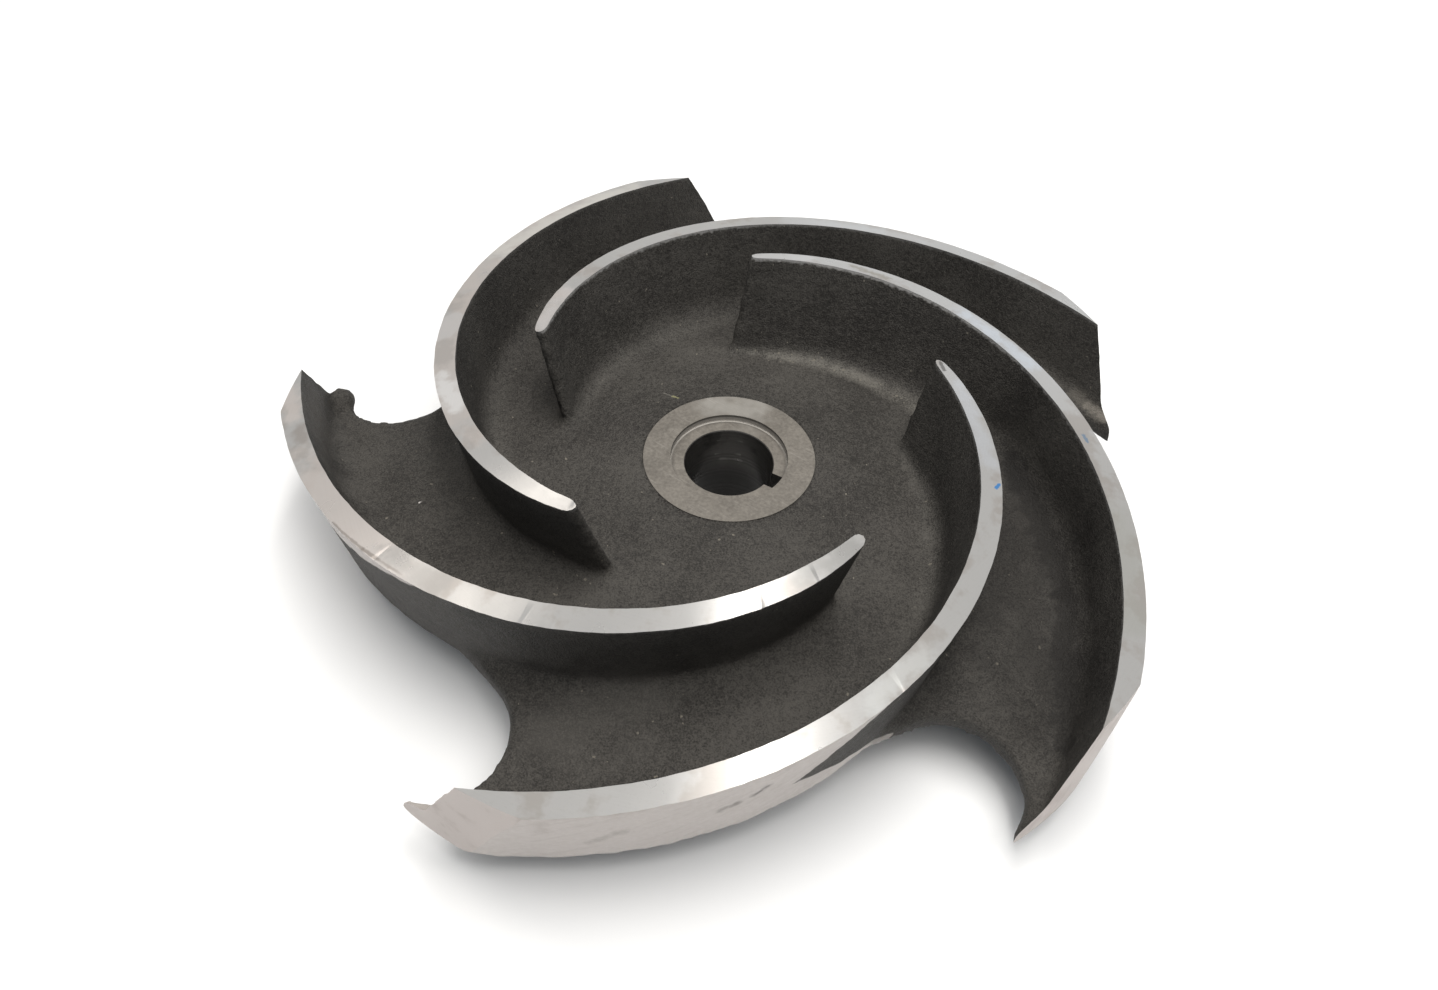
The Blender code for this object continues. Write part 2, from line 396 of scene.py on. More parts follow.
@dataclass
class Vane:
    """One vane of the casting."""

    lathe: LatheSizes
    pattern: VanePattern
    number: int
    cast: VaneCast

    @property
    def base(self) -> float:
        """Angle of the vane's corner at the rim."""
        return self.pattern.first_angle + self.number * self.pattern.pitch

    def drift(self, inward: float) -> float:
        """How far the vane lies off the pattern.

        Args:
            inward: 0 at the rim and 1 at the nose.

        Returns:
            The angle in degrees.
        """
        rim, midway, nose = self.cast.scatter
        swell = math.sin(self.pattern.midway_swell * math.pi * inward * abs(inward))
        return rim * (1.0 - inward) ** 2 + midway * swell + nose * inward**4

    def tip_angle(self, radius: float) -> float:
        """Turn of the centreline at the tip.

        Args:
            radius: Distance from the bore axis.

        Returns:
            The angle in degrees from the vane's corner at the rim.
        """
        form = self.pattern
        rim = self.lathe.rim_radius
        wrap = math.log(rim / radius)
        inward = (rim - radius) / (rim - form.tip_nose_radius)
        angle = form.tip_rim_angle + form.tip_wrap * wrap + form.tip_eye_wrap * wrap**3
        return angle + self.drift(inward)

    def foot_angle(self, radius: float) -> float:
        """Turn of the centreline at the foot.

        Args:
            radius: Distance from the bore axis.

        Returns:
            The angle in degrees from the vane's corner at the rim.
        """
        form = self.pattern
        rim = self.lathe.rim_radius
        inward = (rim - radius) / (rim - self.cast.foot_nose_radius)
        return form.foot_rim_angle + form.foot_wrap * math.log(rim / radius) + self.drift(inward)

    def half_thickness(self, travelled: float) -> float:
        """Half the wall's thickness, which grows from the nose.

        Args:
            travelled: Distance from the nose.

        Returns:
            Half the thickness.
        """
        form = self.pattern
        growth = 1.0 - math.exp(-travelled / form.nose_taper_length)
        return 0.5 * (form.nose_thickness + (form.thickness - form.nose_thickness) * growth)

    def level(self, start_radius: float, at_tip: bool) -> list[Station]:
        """Lay out the centreline at one level, from the nose to the stock at the rim.

        Args:
            start_radius: Radius of the nose's centre at this level.
            at_tip: Whether the level is the tip, and not the foot.

        Returns:
            A list of (centreline point, normal to the convex side, half thickness).
        """
        form = self.pattern
        law = self.tip_angle if at_tip else self.foot_angle
        reach = self.lathe.stock_radius - start_radius
        radii = [start_radius + reach * step / form.stations for step in range(form.stations + 1)]
        centres = [polar(radius, law(radius)) for radius in radii]
        stations = []
        travelled = 0.0
        for index, centre in enumerate(centres):
            before = centres[max(index - 1, 0)]
            along = (centres[min(index + 1, form.stations)] - before).normalized()
            travelled += (centre - before).length
            stations.append((centre, Vector((-along.y, along.x)), self.half_thickness(travelled)))
        return stations

    @staticmethod
    def across(station: Station, share: float, at_nose: bool) -> tuple[Vector, Vector]:
        """Step across the wall at one station.

        Args:
            station: The station, as level() gives it.
            share: -1 at the concave face and 1 at the convex one.
            at_nose: Whether the step runs round the nose.

        Returns:
            The plan point, and the way outwards there.
        """
        centre, normal, half = station
        outward = normal * share
        if at_nose:
            outward = Matrix.Rotation(0.5 * math.pi * (1.0 - share), 2) @ normal
        return centre + outward * half, outward

    def fillet(self, radius: float, share: float) -> float:
        """Width of the root fillet.

        Args:
            radius: Radius of the foot's edge.
            share: -1 on the concave side and 1 on the convex one.

        Returns:
            The width, less round the nose and where the shroud ends at the vane.
        """
        form = self.pattern
        near, far, convex = self.cast.fillets
        concave = near + (far - near) * ramp(radius, form.concave_fillet_swell)
        concave += (form.concave_ledge - concave) * ramp(radius, form.concave_fillet_fade)
        convex -= convex * ramp(radius, form.convex_fillet_fade)
        width = concave + (convex - concave) * 0.5 * (1.0 + share)
        away = ramp(radius - self.cast.foot_nose_radius, (0.0, form.nose_fillet_reach))
        return width * (form.nose_fillet_share + (1.0 - form.nose_fillet_share) * away)

    def run_out(self, radius: float, share: float) -> float:
        """How far the foot stands out of the wall's thickness.

        Args:
            radius: Radius of the foot's centreline.
            share: -1 on the concave side and 1 on the convex one.

        Returns:
            The distance, 0 on the convex side.
        """
        depth, middle, reach = self.cast.toe
        return depth * max(1.0 - ((radius - middle) / reach) ** 2, 0.0) * max(-share, 0.0)

    def build(self) -> bpy.types.Object:
        """Loft the vane from under the shroud to over the tip cone.

        A straight block, with a row for each station and a level for each ring, is bent to the
        two spirals.

        Returns:
            The vane with its root fillets and its stock.
        """
        form, lathe = self.pattern, self.lathe
        tips = self.level(self.cast.tip_nose_radius, True)
        feet = self.level(self.cast.foot_nose_radius, False)
        top_ring = len(form.fillet_rings) + 1
        builder = bmesh.new()
        bmesh.ops.create_grid(
            builder, x_segments=form.stations, y_segments=form.nose_steps, size=1.0
        )
        extrude_up(builder, 1.0, top_ring)
        spin = Matrix.Rotation(math.radians(self.base), 4, "Z")
        for vert in builder.verts:
            number = round(0.5 * (vert.co.x + 1.0) * form.stations)
            ring = round(vert.co.z)
            tip, _ = self.across(tips[number], vert.co.y, number == 0)
            foot, outward = self.across(feet[number], vert.co.y, number == 0)
            foot = foot + outward * self.run_out(feet[number][0].length, vert.co.y)
            top = tip.to_3d() + Vector((0.0, 0.0, lathe.tip_cone(tip.length)))
            bottom = foot.to_3d() + Vector((0.0, 0.0, lathe.shroud_back(foot.length)))
            rise = top - bottom
            width = self.fillet(foot.length, vert.co.y)
            if ring == 0:
                lift = rise * (self.cast.root_lift / rise.z)
                point = bottom + (outward * width).to_3d() + lift
                point.z = max(point.z, lathe.shroud_back(point.to_2d().length))
            elif ring == top_ring:
                point = top + rise * (lathe.stock / rise.z)
            else:
                share = form.fillet_rings[ring - 1]
                height = lathe.shroud_thickness + share * max(width, form.least_fillet)
                spread = width * (1.0 - math.sqrt(1.0 - (1.0 - share) ** 2))
                point = bottom + rise * (height / rise.z) + (outward * spread).to_3d()
                seat = lathe.shroud_front(foot.length)
                point.z += lathe.shroud_front(point.to_2d().length) - seat
            vert.co = spin @ point
        return to_object(f"vane_{self.number}", builder)


@dataclass
class Shroud:
    """The cast back shroud with its boss and its bays.

    The boss's curve has shares of its fillet, outwards and down from its root.
    """

    lathe: LatheSizes
    pattern: VanePattern
    vanes: list[Vane]
    boss_radius: float = 0.031
    boss_root_radius: float = 0.035
    boss_fillet: float = 0.006
    boss_curve: tuple[tuple[float, float], ...] = ((0.3, 0.3), (-0.1, 1.2))
    boss_chamfer: float = 0.0008
    boss_stock: float = 0.002
    core_radius: float = 0.008
    bay_radius: float = 0.0235
    bay_centre_radius: float = 0.1380
    bay_centre_angle: float = -12.5
    bay_inset: float = 0.0015
    bay_start_radius: float = 0.112
    bay_clear_radius: float = 0.200
    bay_clear_angle: float = 40.0
    bay_steps: int = 48
    bay_margin: float = 0.004
    short_step: float = 0.001

    def build(self) -> bpy.types.Object:
        """Spin the cone and cut the bays.

        Returns:
            The shroud with stock on its rim and boss.
        """
        lathe = self.lathe
        edge = lathe.stock_radius
        root = self.boss_root_radius
        fillet = self.boss_fillet
        under = lathe.shroud_back(root)
        curve = [(root + out * fillet, under - down * fillet) for out, down in self.boss_curve]
        profile = [
            (self.core_radius, lathe.shroud_front(lathe.hub_face_radius)),
            (lathe.hub_face_radius, lathe.shroud_front(lathe.hub_face_radius)),
            (edge, lathe.shroud_front(edge)),
            (edge, lathe.shroud_back(edge)),
            (root + fillet, lathe.shroud_back(root + fillet)),
            *curve,
            (self.boss_radius, self.boss_chamfer),
            (self.boss_radius - self.boss_chamfer, -self.boss_stock),
            (self.core_radius, -self.boss_stock),
        ]
        builder = bmesh.new()
        lathe.spin(builder, profile)
        shroud = to_object("shroud", builder)
        bays = []
        for vane in self.vanes:
            bays.extend(self.bay_cutters(vane))
        combine(shroud, bays, Cut.TAKE_OFF)
        return shroud

    def bay_cutters(self, vane: Vane) -> list[bpy.types.Object]:
        """Shape the cutters of one bay.

        Args:
            vane: The vane whose tip the bay lies in front of.

        Returns:
            The round cutter and the strip along the next vane's foot.
        """
        angle = vane.base + self.bay_centre_angle
        centre = polar(self.bay_centre_radius, angle)
        turns = [360.0 * step / self.bay_steps for step in range(self.bay_steps)]
        circle = [centre + polar(self.bay_radius, turn) for turn in turns]
        neighbour = self.vanes[(vane.number - 1) % self.pattern.count]
        origin = vane.base - self.pattern.pitch
        reach = self.lathe.stock_radius + self.lathe.stock - self.bay_start_radius
        offset = 0.5 * self.pattern.thickness - self.bay_inset
        strip = []
        for step in range(self.pattern.stations + 1):
            radius = self.bay_start_radius + reach * step / self.pattern.stations
            further = radius + self.short_step
            here = polar(radius, origin + neighbour.foot_angle(radius))
            along = (polar(further, origin + neighbour.foot_angle(further)) - here).normalized()
            strip.append(here + Vector((-along.y, along.x)) * offset)
        strip.append(polar(self.bay_clear_radius, origin + self.bay_clear_angle))
        strip.append(polar(self.bay_clear_radius, angle))
        strip.extend((centre, polar(self.bay_centre_radius - self.bay_radius, angle)))
        high = self.lathe.hub_length + self.bay_margin
        return [
            prism(f"bay_{vane.number}", circle, -self.bay_margin, high),
            prism(f"strip_{vane.number}", strip, -2.0 * self.bay_margin, high + self.bay_margin),
        ]


@dataclass
class HubCore:
    """The turned core of the hub, whose rim stands a little proud of the cast shroud."""

    lathe: LatheSizes
    low: float = 0.030
    stock: float = 0.002

    def build(self) -> bpy.types.Object:
        """Make the core as a plain drum, which the lathe then faces and bores.

        Returns:
            The drum.
        """
        builder = bmesh.new()
        depth = self.lathe.hub_length + self.stock - self.low
        bmesh.ops.create_cone(
            builder,
            cap_ends=True,
            segments=self.lathe.turn_steps,
            radius1=self.lathe.hub_face_radius,
            radius2=self.lathe.hub_face_radius,
            depth=depth,
        )
        bmesh.ops.translate(builder, verts=builder.verts, vec=(0.0, 0.0, self.low + 0.5 * depth))
        return to_object("hub_core", builder)


@dataclass
class Turning:
    """The lathe's work: everything outside this space is cut away."""

    lathe: LatheSizes
    hub_margin: float = 0.0006
    tolerance: float = 0.0001

    def build(self) -> bpy.types.Object:
        """Spin the space that the lathe leaves.

        Returns:
            The envelope, each of whose faces carries the slot of the surface that it cuts.
        """
        lathe = self.lathe
        floor = lathe.hub_length - lathe.counterbore_depth
        facing = lathe.hub_face_radius + self.hub_margin
        chamfer = lathe.bore_chamfer
        profile = [
            (lathe.bore_radius + chamfer, 0.0),
            (lathe.bore_radius, chamfer),
            (lathe.bore_radius, floor - chamfer),
            (lathe.bore_radius + chamfer, floor),
            (lathe.counterbore_radius, floor),
            (lathe.counterbore_radius, lathe.hub_length),
            (facing, lathe.hub_length),
            (facing, lathe.tip_cone(facing)),
            (lathe.rim_radius, lathe.tip_cone(lathe.rim_radius)),
            (lathe.rim_radius, 0.0),
        ]
        builder = bmesh.new()
        lathe.spin(builder, profile)
        for face in builder.faces:
            face.material_index = self.surface_at(face.calc_center_median())
        return to_object("turning", builder)

    def surface_at(self, place: Vector) -> Surface:
        """Name the surface that a face of the envelope cuts.

        Args:
            place: The middle of the face.

        Returns:
            The material slot.
        """
        lathe = self.lathe
        radius = place.to_2d().length
        if radius > lathe.rim_radius - 2.0 * self.tolerance:
            return Surface.RIM
        if radius < lathe.bore_radius + lathe.bore_chamfer:
            return Surface.BORE
        if place.z > lathe.hub_length + self.tolerance:
            return Surface.TIP
        return Surface.HUB


@dataclass
class Keyway:
    """The key slot through the hub."""

    lathe: LatheSizes
    width: float = 0.00635
    reach: float = 0.0200
    angle: float = -26.6
    margin: float = 0.006

    def build(self) -> bpy.types.Object:
        """Shape the broach that cuts the slot.

        Returns:
            The broach, whose faces carry the slot of the bored iron.
        """
        half = 0.5 * self.width
        corners = [(0.0, -half), (self.reach, -half), (self.reach, half), (0.0, half)]
        turn = Matrix.Rotation(math.radians(self.angle), 2)
        outline = [turn @ Vector(corner) for corner in corners]
        broach = prism("keyway", outline, -self.margin, self.lathe.hub_length + self.margin)
        for face in broach.data.polygons:
            face.material_index = Surface.BORE
        return broach


Colour = tuple[float, float, float, float]
Place = tuple[float, float, float]
Socket = bpy.types.NodeSocket
Feed = float | tuple[float, ...] | Socket

RISING: Range = (0.0, 1.0)
FALLING: Range = (1.0, 0.0)
NOISE_MIDDLE = 0.5
NOISE_SPREAD: Range = (0.3, 0.7)


def rgb(red: float, green: float, blue: float) -> Colour:
    """An opaque colour from its three shares."""
    return (red, green, blue, 1.0)


@dataclass(frozen=True)
class Grain:
    """A noise pattern: waves to the metre, octaves, and the weight of the finer ones."""

    scale: float
    octaves: float = 2.0
    rough: float = 0.5


@dataclass(frozen=True)
class Brush:
    """A noise pattern drawn out into lines, which lie at an angle in degrees."""

    angle: float
    waves: Place
    octaves: float
    rough: float


@dataclass(frozen=True)
class Mark:
    """A small stain or scratch: everything near a short line, with a frayed edge."""

    start: Place
    end: Place
    width: float
    colour: Colour
    share: float = 1.0
    softness: float = 0.5
    fray_scale: float = 700.0
    fray_octaves: float = 3.0
    fray_rough: float = 0.6


class FinishGraph:
    """A material's node tree, grown node by node."""

    def __init__(self, name: str) -> None:
        """Start a material.

        Args:
            name: The material's name.
        """
        self.material = bpy.data.materials.new(name)
        self.material.use_nodes = True
        self.tree = self.material.node_tree
        self.shader = self.tree.nodes["Principled BSDF"]
        self.place = self.add("ShaderNodeTexCoord").outputs["Object"]

    def feed(self, socket: Socket, value: Feed) -> None:
        """Link a socket, or set its value.

        Args:
            socket: The input socket.
            value: An output socket or a constant.
        """
        if isinstance(value, Socket):
            self.tree.links.new(value, socket)
        else:
            socket.default_value = value

    def add(
        self, kind: str, inputs: dict[str | int, Feed] | None = None, **settings: object
    ) -> bpy.types.Node:
        """Add one node.

        Args:
            kind: The node's type.
            inputs: Values or links by input name or number.
            **settings: The node's own options.

        Returns:
            The node.
        """
        node = self.tree.nodes.new(kind)
        for key, value in settings.items():
            setattr(node, key, value)
        for key, value in (inputs or {}).items():
            self.feed(node.inputs[key], value)
        return node

    def finished(self, inputs: dict[str, Feed]) -> bpy.types.Material:
        """Feed the shader.

        Args:
            inputs: Values or links by input name.

        Returns:
            The material.
        """
        for name, value in inputs.items():
            self.feed(self.shader.inputs[name], value)
        return self.material

    def noise(self, grain: Grain, place: Feed | None = None) -> Socket:
        """Add a noise pattern.

        Args:
            grain: The pattern.
            place: Where it is read, or the piece's own coordinates.

        Returns:
            The pattern, around its middle.
        """
        inputs = {
            "Vector": place or self.place,
            "Scale": grain.scale,
            "Detail": grain.octaves,
            "Roughness": grain.rough,
        }
        return self.add("ShaderNodeTexNoise", inputs).outputs["Fac"]

    def lines(self, brush: Brush, place: Feed) -> Socket:
        """Add a noise pattern drawn out into lines.

        Args:
            brush: The pattern.
            place: Where it is read.

        Returns:
            The pattern, around its middle.
        """
        inputs = {"Vector": place, "Angle": math.radians(brush.angle)}
        turned = self.add("ShaderNodeVectorRotate", inputs, rotation_type="Z_AXIS")
        drawn = self.vector("MULTIPLY", turned.outputs["Vector"], brush.waves)
        return self.noise(Grain(1.0, brush.octaves, brush.rough), drawn.outputs["Vector"])

    def sway(self, grain: Grain, reach: float) -> Socket:
        """Add a noise pattern that goes to either side of nought.

        Args:
            grain: The pattern.
            reach: How far its full range goes.

        Returns:
            The pattern, around 0.
        """
        middled = self.maths("SUBTRACT", self.noise(grain), NOISE_MIDDLE)
        return self.maths("MULTIPLY", middled, reach)

    def stored(self, name: str, output: str = "Fac") -> Socket:
        """Read an attribute that is stored on the mesh.

        Args:
            name: The attribute's name.
            output: Fac for a number, or Vector.

        Returns:
            The attribute.
        """
        return self.add("ShaderNodeAttribute", attribute_name=name).outputs[output]

    def maths(self, operation: str, *values: Feed) -> Socket:
        """Add a sum on numbers.

        Args:
            operation: The Math node's operation.
            *values: Its inputs.

        Returns:
            The result.
        """
        return self.add("ShaderNodeMath", dict(enumerate(values)), operation=operation).outputs[0]

    def vector(self, operation: str, *values: Feed) -> bpy.types.Node:
        """Add a sum on vectors.

        Args:
            operation: The Vector Math node's operation.
            *values: Its inputs.

        Returns:
            The node.
        """
        return self.add("ShaderNodeVectorMath", dict(enumerate(values)), operation=operation)

    def weighed(self, *parts: tuple[Feed, float]) -> Socket:
        """Add up patterns by weight.

        Args:
            *parts: Pairs of a pattern and its weight.

        Returns:
            The sum.
        """
        total, *others = [self.maths("MULTIPLY", value, weight) for value, weight in parts]
        for other in others:
            total = self.maths("ADD", total, other)
        return total

    def span(self, value: Feed, band: Range, result: Range = RISING) -> Socket:
        """Ease a value from one range to another.

        Args:
            value: The value.
            band: The range that it comes from.
            result: What its low and its high end become.

        Returns:
            The eased value.
        """
        inputs = {
            "Value": value,
            "From Min": band[0],
            "From Max": band[1],
            "To Min": result[0],
            "To Max": result[1],
        }
        node = self.add("ShaderNodeMapRange", inputs, interpolation_type="SMOOTHSTEP")
        return node.outputs["Result"]

    def mix(self, share: Feed, first: Feed, second: Feed, blend: Blend = Blend.OVER) -> Socket:
        """Blend two colours.

        Args:
            share: 0 for the first colour, 1 for the second.
            first: A colour or a link.
            second: A colour or a link.
            blend: How the second is laid on the first.

        Returns:
            The blended colour.
        """
        inputs = {0: share, 6: first, 7: second}
        node = self.add("ShaderNodeMix", inputs, data_type="RGBA", blend_type=blend.value)
        return node.outputs[2]

    def axis(self, letter: str) -> Socket:
        """One coordinate of the place."""
        return self.add("ShaderNodeSeparateXYZ", {0: self.place}).outputs[letter]

    def flat(self) -> Socket:
        """The place in plan, which also points straight away from the bore axis."""
        return self.vector("MULTIPLY", self.place, (1.0, 1.0, 0.0)).outputs["Vector"]

    def radius(self) -> Socket:
        """Distance from the bore axis."""
        return self.vector("LENGTH", self.flat()).outputs["Value"]

    def marked(self, under: Feed, mark: Mark) -> Socket:
        """Lay one small mark over a colour.

        Args:
            under: The colour below.
            mark: The mark.

        Returns:
            The colour with the mark on it.
        """
        way = Vector(mark.end) - Vector(mark.start)
        unit = tuple(way.normalized())
        offset = self.vector("SUBTRACT", self.place, mark.start).outputs["Vector"]
        along = self.vector("DOT_PRODUCT", offset, unit).outputs["Value"]
        along = self.maths("MINIMUM", self.maths("MAXIMUM", along, 0.0), way.length)
        reached = {0: unit, "Scale": along}
        nearest = self.add("ShaderNodeVectorMath", reached, operation="SCALE").outputs["Vector"]
        gap = self.vector("DISTANCE", offset, nearest).outputs["Value"]
        fray = Grain(mark.fray_scale, mark.fray_octaves, mark.fray_rough)
        gap = self.maths("ADD", gap, self.sway(fray, 2.0 * mark.width))
        edge = (mark.width * (1.0 - mark.softness), mark.width)
        return self.mix(self.span(gap, edge, (mark.share, 0.0)), under, mark.colour)

    def bump(self, height: Feed, depth: float) -> Socket:
        """Raise the surface by a pattern.

        Args:
            height: The pattern.
            depth: How high its full range stands.

        Returns:
            The new normal.
        """
        return self.add("ShaderNodeBump", {"Height": height, "Distance": depth}).outputs["Normal"]


@dataclass(frozen=True)
class CastSkin:
    """Sand-cast iron skin, with the faces that were ground by hand near the rim.

    The marks are painted shade and light on the skin, dust, nick and scratch marks, a painted
    highlight spot, the spots that the grinding wheel skipped, and the ledge under one vane's end
    that it caught.
    """

    lathe: LatheSizes
    dark: Colour = rgb(0.0268, 0.0246, 0.0222)
    light: Colour = rgb(0.0765, 0.0712, 0.0638)
    patches: Grain = Grain(28.0, 3.0, 0.6)
    sand: Grain = Grain(1700.0, 2.0, 0.7)
    pebbles: Grain = Grain(560.0, 4.0, 0.65)
    tone_weights: tuple[float, float, float] = (0.5, 1.0, 0.6)
    tone_band: Range = (0.82, 1.28)
    dust: Colour = rgb(0.150, 0.141, 0.124)
    dust_clouds: Grain = Grain(150.0, 3.0, 0.6)
    dust_band: Range = (0.60, 1.25)
    fleck: Colour = rgb(0.16, 0.145, 0.12)
    flecks: Grain = Grain(520.0, 1.0, 0.5)
    fleck_band: Range = (0.76, 0.80)
    flecks_in_dust: float = 0.10
    ground: Colour = rgb(0.52, 0.480, 0.455)
    ground_edge: Grain = Grain(150.0, 4.0, 0.6)
    ground_edge_reach: float = 0.26
    ground_band: Range = (0.46, 0.54)
    smear: Colour = rgb(0.42, 0.38, 0.355)
    smears: Brush = Brush(-32.0, (40.0, 240.0, 1.0), 3.0, 0.6)
    smear_band: Range = (0.45, 0.75)
    smear_share: float = 0.5
    burr: Colour = rgb(0.45, 0.44, 0.43)
    burr_edge: Grain = Grain(600.0)
    burr_edge_reach: float = 0.0024
    burr_band: Range = (0.0014, 0.0028)
    roughness: Range = (0.55, 0.75)
    specular: float = 0.3
    bare_metallic: float = 0.25
    bare_polish: float = 0.15
    bare_smoothing: float = 0.85
    relief_weight: float = 0.5
    relief_depth: float = 0.0009
    ledge: Mark = Mark(
        (-0.0925, -0.1280, 0.0190), (-0.0862, -0.1297, 0.0216), 0.0050,
        rgb(0.46, 0.42, 0.39), 1.0, 0.2, 200.0,
    )
    skips: tuple[Mark, ...] = (
        Mark((0.0037, -0.1366, 0.0400), (0.0075, -0.1354, 0.0423), 0.0030,
             rgb(0.17, 0.150, 0.137), 0.75, 1.0, 300.0),
        Mark((0.0132, -0.1334, 0.0452), (0.0152, -0.1329, 0.0470), 0.0030,
             rgb(0.09, 0.08, 0.073), 0.85, 1.0, 300.0),
        Mark((-0.0343, -0.1447, 0.0319), (-0.0245, -0.1446, 0.0386), 0.0032,
             rgb(0.32, 0.29, 0.27), 0.55, 1.0, 300.0),
        Mark((-0.0519, -0.1485, 0.0544), (-0.0198, -0.1459, 0.0571), 0.0030,
             rgb(0.33, 0.29, 0.265), 0.45, 1.0, 200.0),
        Mark((-0.0465, -0.1502, 0.0500), (-0.0478, -0.1480, 0.0420), 0.0040,
             rgb(0.40, 0.36, 0.335), 0.5, 1.0, 200.0),
        Mark((0.0491, -0.1036, 0.0279), (0.0615, -0.0966, 0.0231), 0.0040,
             rgb(0.20, 0.18, 0.165), 0.75, 0.8, 300.0),
    )
    painted_shade_and_light: tuple[Mark, ...] = (
        # Painted shade over the shroud's floor between vanes 4 and 3.
        Mark((0.1120, 0.0100, 0.0300), (0.1040, -0.0680, 0.0300), 0.0480,
             rgb(0.0175, 0.0160, 0.0148), 0.50, 1.0, 60.0),
        # Painted shadow along vane 0's nose.
        Mark((-0.0687, 0.0257, 0.0715), (-0.0612, 0.0188, 0.0425), 0.0013,
             rgb(0.0080, 0.0075, 0.0070), 0.90, 0.5, 500.0),
        # Painted shade in the fillet at the foot of vane 4's concave side, in three pieces.
        Mark((0.1047, 0.0167, 0.0350), (0.1060, 0.0060, 0.0325), 0.0065,
             rgb(0.0150, 0.0140, 0.0130), 0.65, 0.7, 200.0),
        Mark((0.1060, 0.0150, 0.0340), (0.1180, -0.0420, 0.0298), 0.0058,
             rgb(0.0175, 0.0160, 0.0148), 0.60, 0.6, 200.0),
        Mark((0.1180, -0.0420, 0.0298), (0.1100, -0.1000, 0.0280), 0.0058,
             rgb(0.0175, 0.0160, 0.0148), 0.60, 0.6, 200.0),
        # Painted light on vane 2's concave wall near the rim.
        Mark((-0.1530, 0.0180, 0.0400), (-0.1460, -0.0120, 0.0420), 0.0220,
             rgb(0.130, 0.120, 0.108), 0.45, 1.0, 60.0),
        # Painted light on the shroud's floor between vanes 2 and 3.
        Mark((-0.0478, -0.1093, 0.0284), (-0.0300, -0.0970, 0.0315), 0.0220,
             rgb(0.105, 0.098, 0.088), 0.35, 1.0, 60.0),
    )
    # Dust at vane 0's foot near the rim, two scratches near the hub, and a painted highlight spot.
    nicks_and_painted_glint: tuple[Mark, ...] = (
        Mark((0.1382, 0.0660, 0.0245), (0.1446, 0.0580, 0.0222), 0.0040,
             rgb(0.120, 0.110, 0.095), 0.55, 1.0, 300.0),
        Mark((0.1440, 0.0588, 0.0223), (0.1485, 0.0545, 0.0219), 0.0034,
             rgb(0.170, 0.155, 0.135), 0.90, 0.8, 300.0),
        Mark((-0.0256, 0.0332, 0.0425), (-0.0222, 0.0309, 0.0432), 0.0004,
             rgb(0.18, 0.17, 0.15), 0.6),
        Mark((-0.0222, 0.0309, 0.0432), (-0.0201, 0.0296, 0.0436), 0.0006,
             rgb(0.27, 0.26, 0.14), 0.7),
        # Painted highlight: a tiny glint on the shroud's floor between vanes 1 and 2.
        Mark((-0.1093, -0.0168, 0.0298), (-0.1087, -0.0167, 0.0298), 0.0006,
             rgb(0.60, 0.56, 0.54)),
    )

    def material(self) -> bpy.types.Material:
        """Build the finish.

        Returns:
            The material.
        """
        graph = FinishGraph("cast_skin")
        sand = graph.noise(self.sand)
        pebbles = graph.noise(self.pebbles)
        ground = self.ground_share(graph)
        burred = self.burr_share(graph)
        colour = graph.mix(ground, self.skin(graph, sand, pebbles), self.worked(graph))
        colour = graph.mix(burred, graph.marked(colour, self.ledge), self.burr)
        bare = graph.maths("MAXIMUM", ground, burred)
        rough = graph.span(pebbles, NOISE_SPREAD, self.roughness)
        shine = graph.maths("MULTIPLY", bare, self.bare_polish)
        relief = graph.weighed((pebbles, self.relief_weight), (sand, self.relief_weight))
        left = graph.maths("SUBTRACT", 1.0, graph.maths("MULTIPLY", bare, self.bare_smoothing))
        inputs = {
            "Base Color": colour,
            "Metallic": graph.maths("MULTIPLY", bare, self.bare_metallic),
            "Specular IOR Level": self.specular,
            "Roughness": graph.maths("SUBTRACT", rough, shine),
            "Normal": graph.bump(graph.maths("MULTIPLY", relief, left), self.relief_depth),
        }
        return graph.finished(inputs)

    def skin(self, graph: FinishGraph, sand: Socket, pebbles: Socket) -> Socket:
        """Mottle the skin, and lay the dust, the flecks and the marks on it.

        Args:
            graph: The material that asks.
            sand: The fine pattern.
            pebbles: The coarser pattern.

        Returns:
            The colour.
        """
        patterns = (graph.noise(self.patches), sand, pebbles)
        tone = graph.span(graph.weighed(*zip(patterns, self.tone_weights)), self.tone_band)
        colour = graph.mix(tone, self.dark, self.light)
        settled = graph.stored("dust")
        clouds = graph.maths("ADD", graph.noise(self.dust_clouds), sand)
        patchy = graph.span(clouds, self.dust_band)
        colour = graph.mix(graph.maths("MULTIPLY", settled, patchy), colour, self.dust)
        flecks = graph.weighed((graph.noise(self.flecks), 1.0), (settled, self.flecks_in_dust))
        colour = graph.mix(graph.span(flecks, self.fleck_band), colour, self.fleck)
        # The marks include painted shade and painted light.
        for mark in self.painted_shade_and_light + self.nicks_and_painted_glint:
            colour = graph.marked(colour, mark)
        return colour

    def worked(self, graph: FinishGraph) -> Socket:
        """Draw the wheel's lines on the ground faces.

        Args:
            graph: The material that asks.

        Returns:
            The colour.
        """
        lines = graph.lines(self.smears, graph.stored("vane_place", "Vector"))
        share = graph.span(lines, self.smear_band, (0.0, self.smear_share))
        colour = graph.mix(share, self.ground, self.smear)
        for mark in self.skips:
            colour = graph.marked(colour, mark)
        return colour

    def ground_share(self, graph: FinishGraph) -> Socket:
        """Where the skin is ground off.

        Args:
            graph: The material that asks.

        Returns:
            1 on the ground faces, with a ragged edge.
        """
        ragged = graph.sway(self.ground_edge, self.ground_edge_reach)
        return graph.span(graph.maths("ADD", graph.stored("ground"), ragged), self.ground_band)

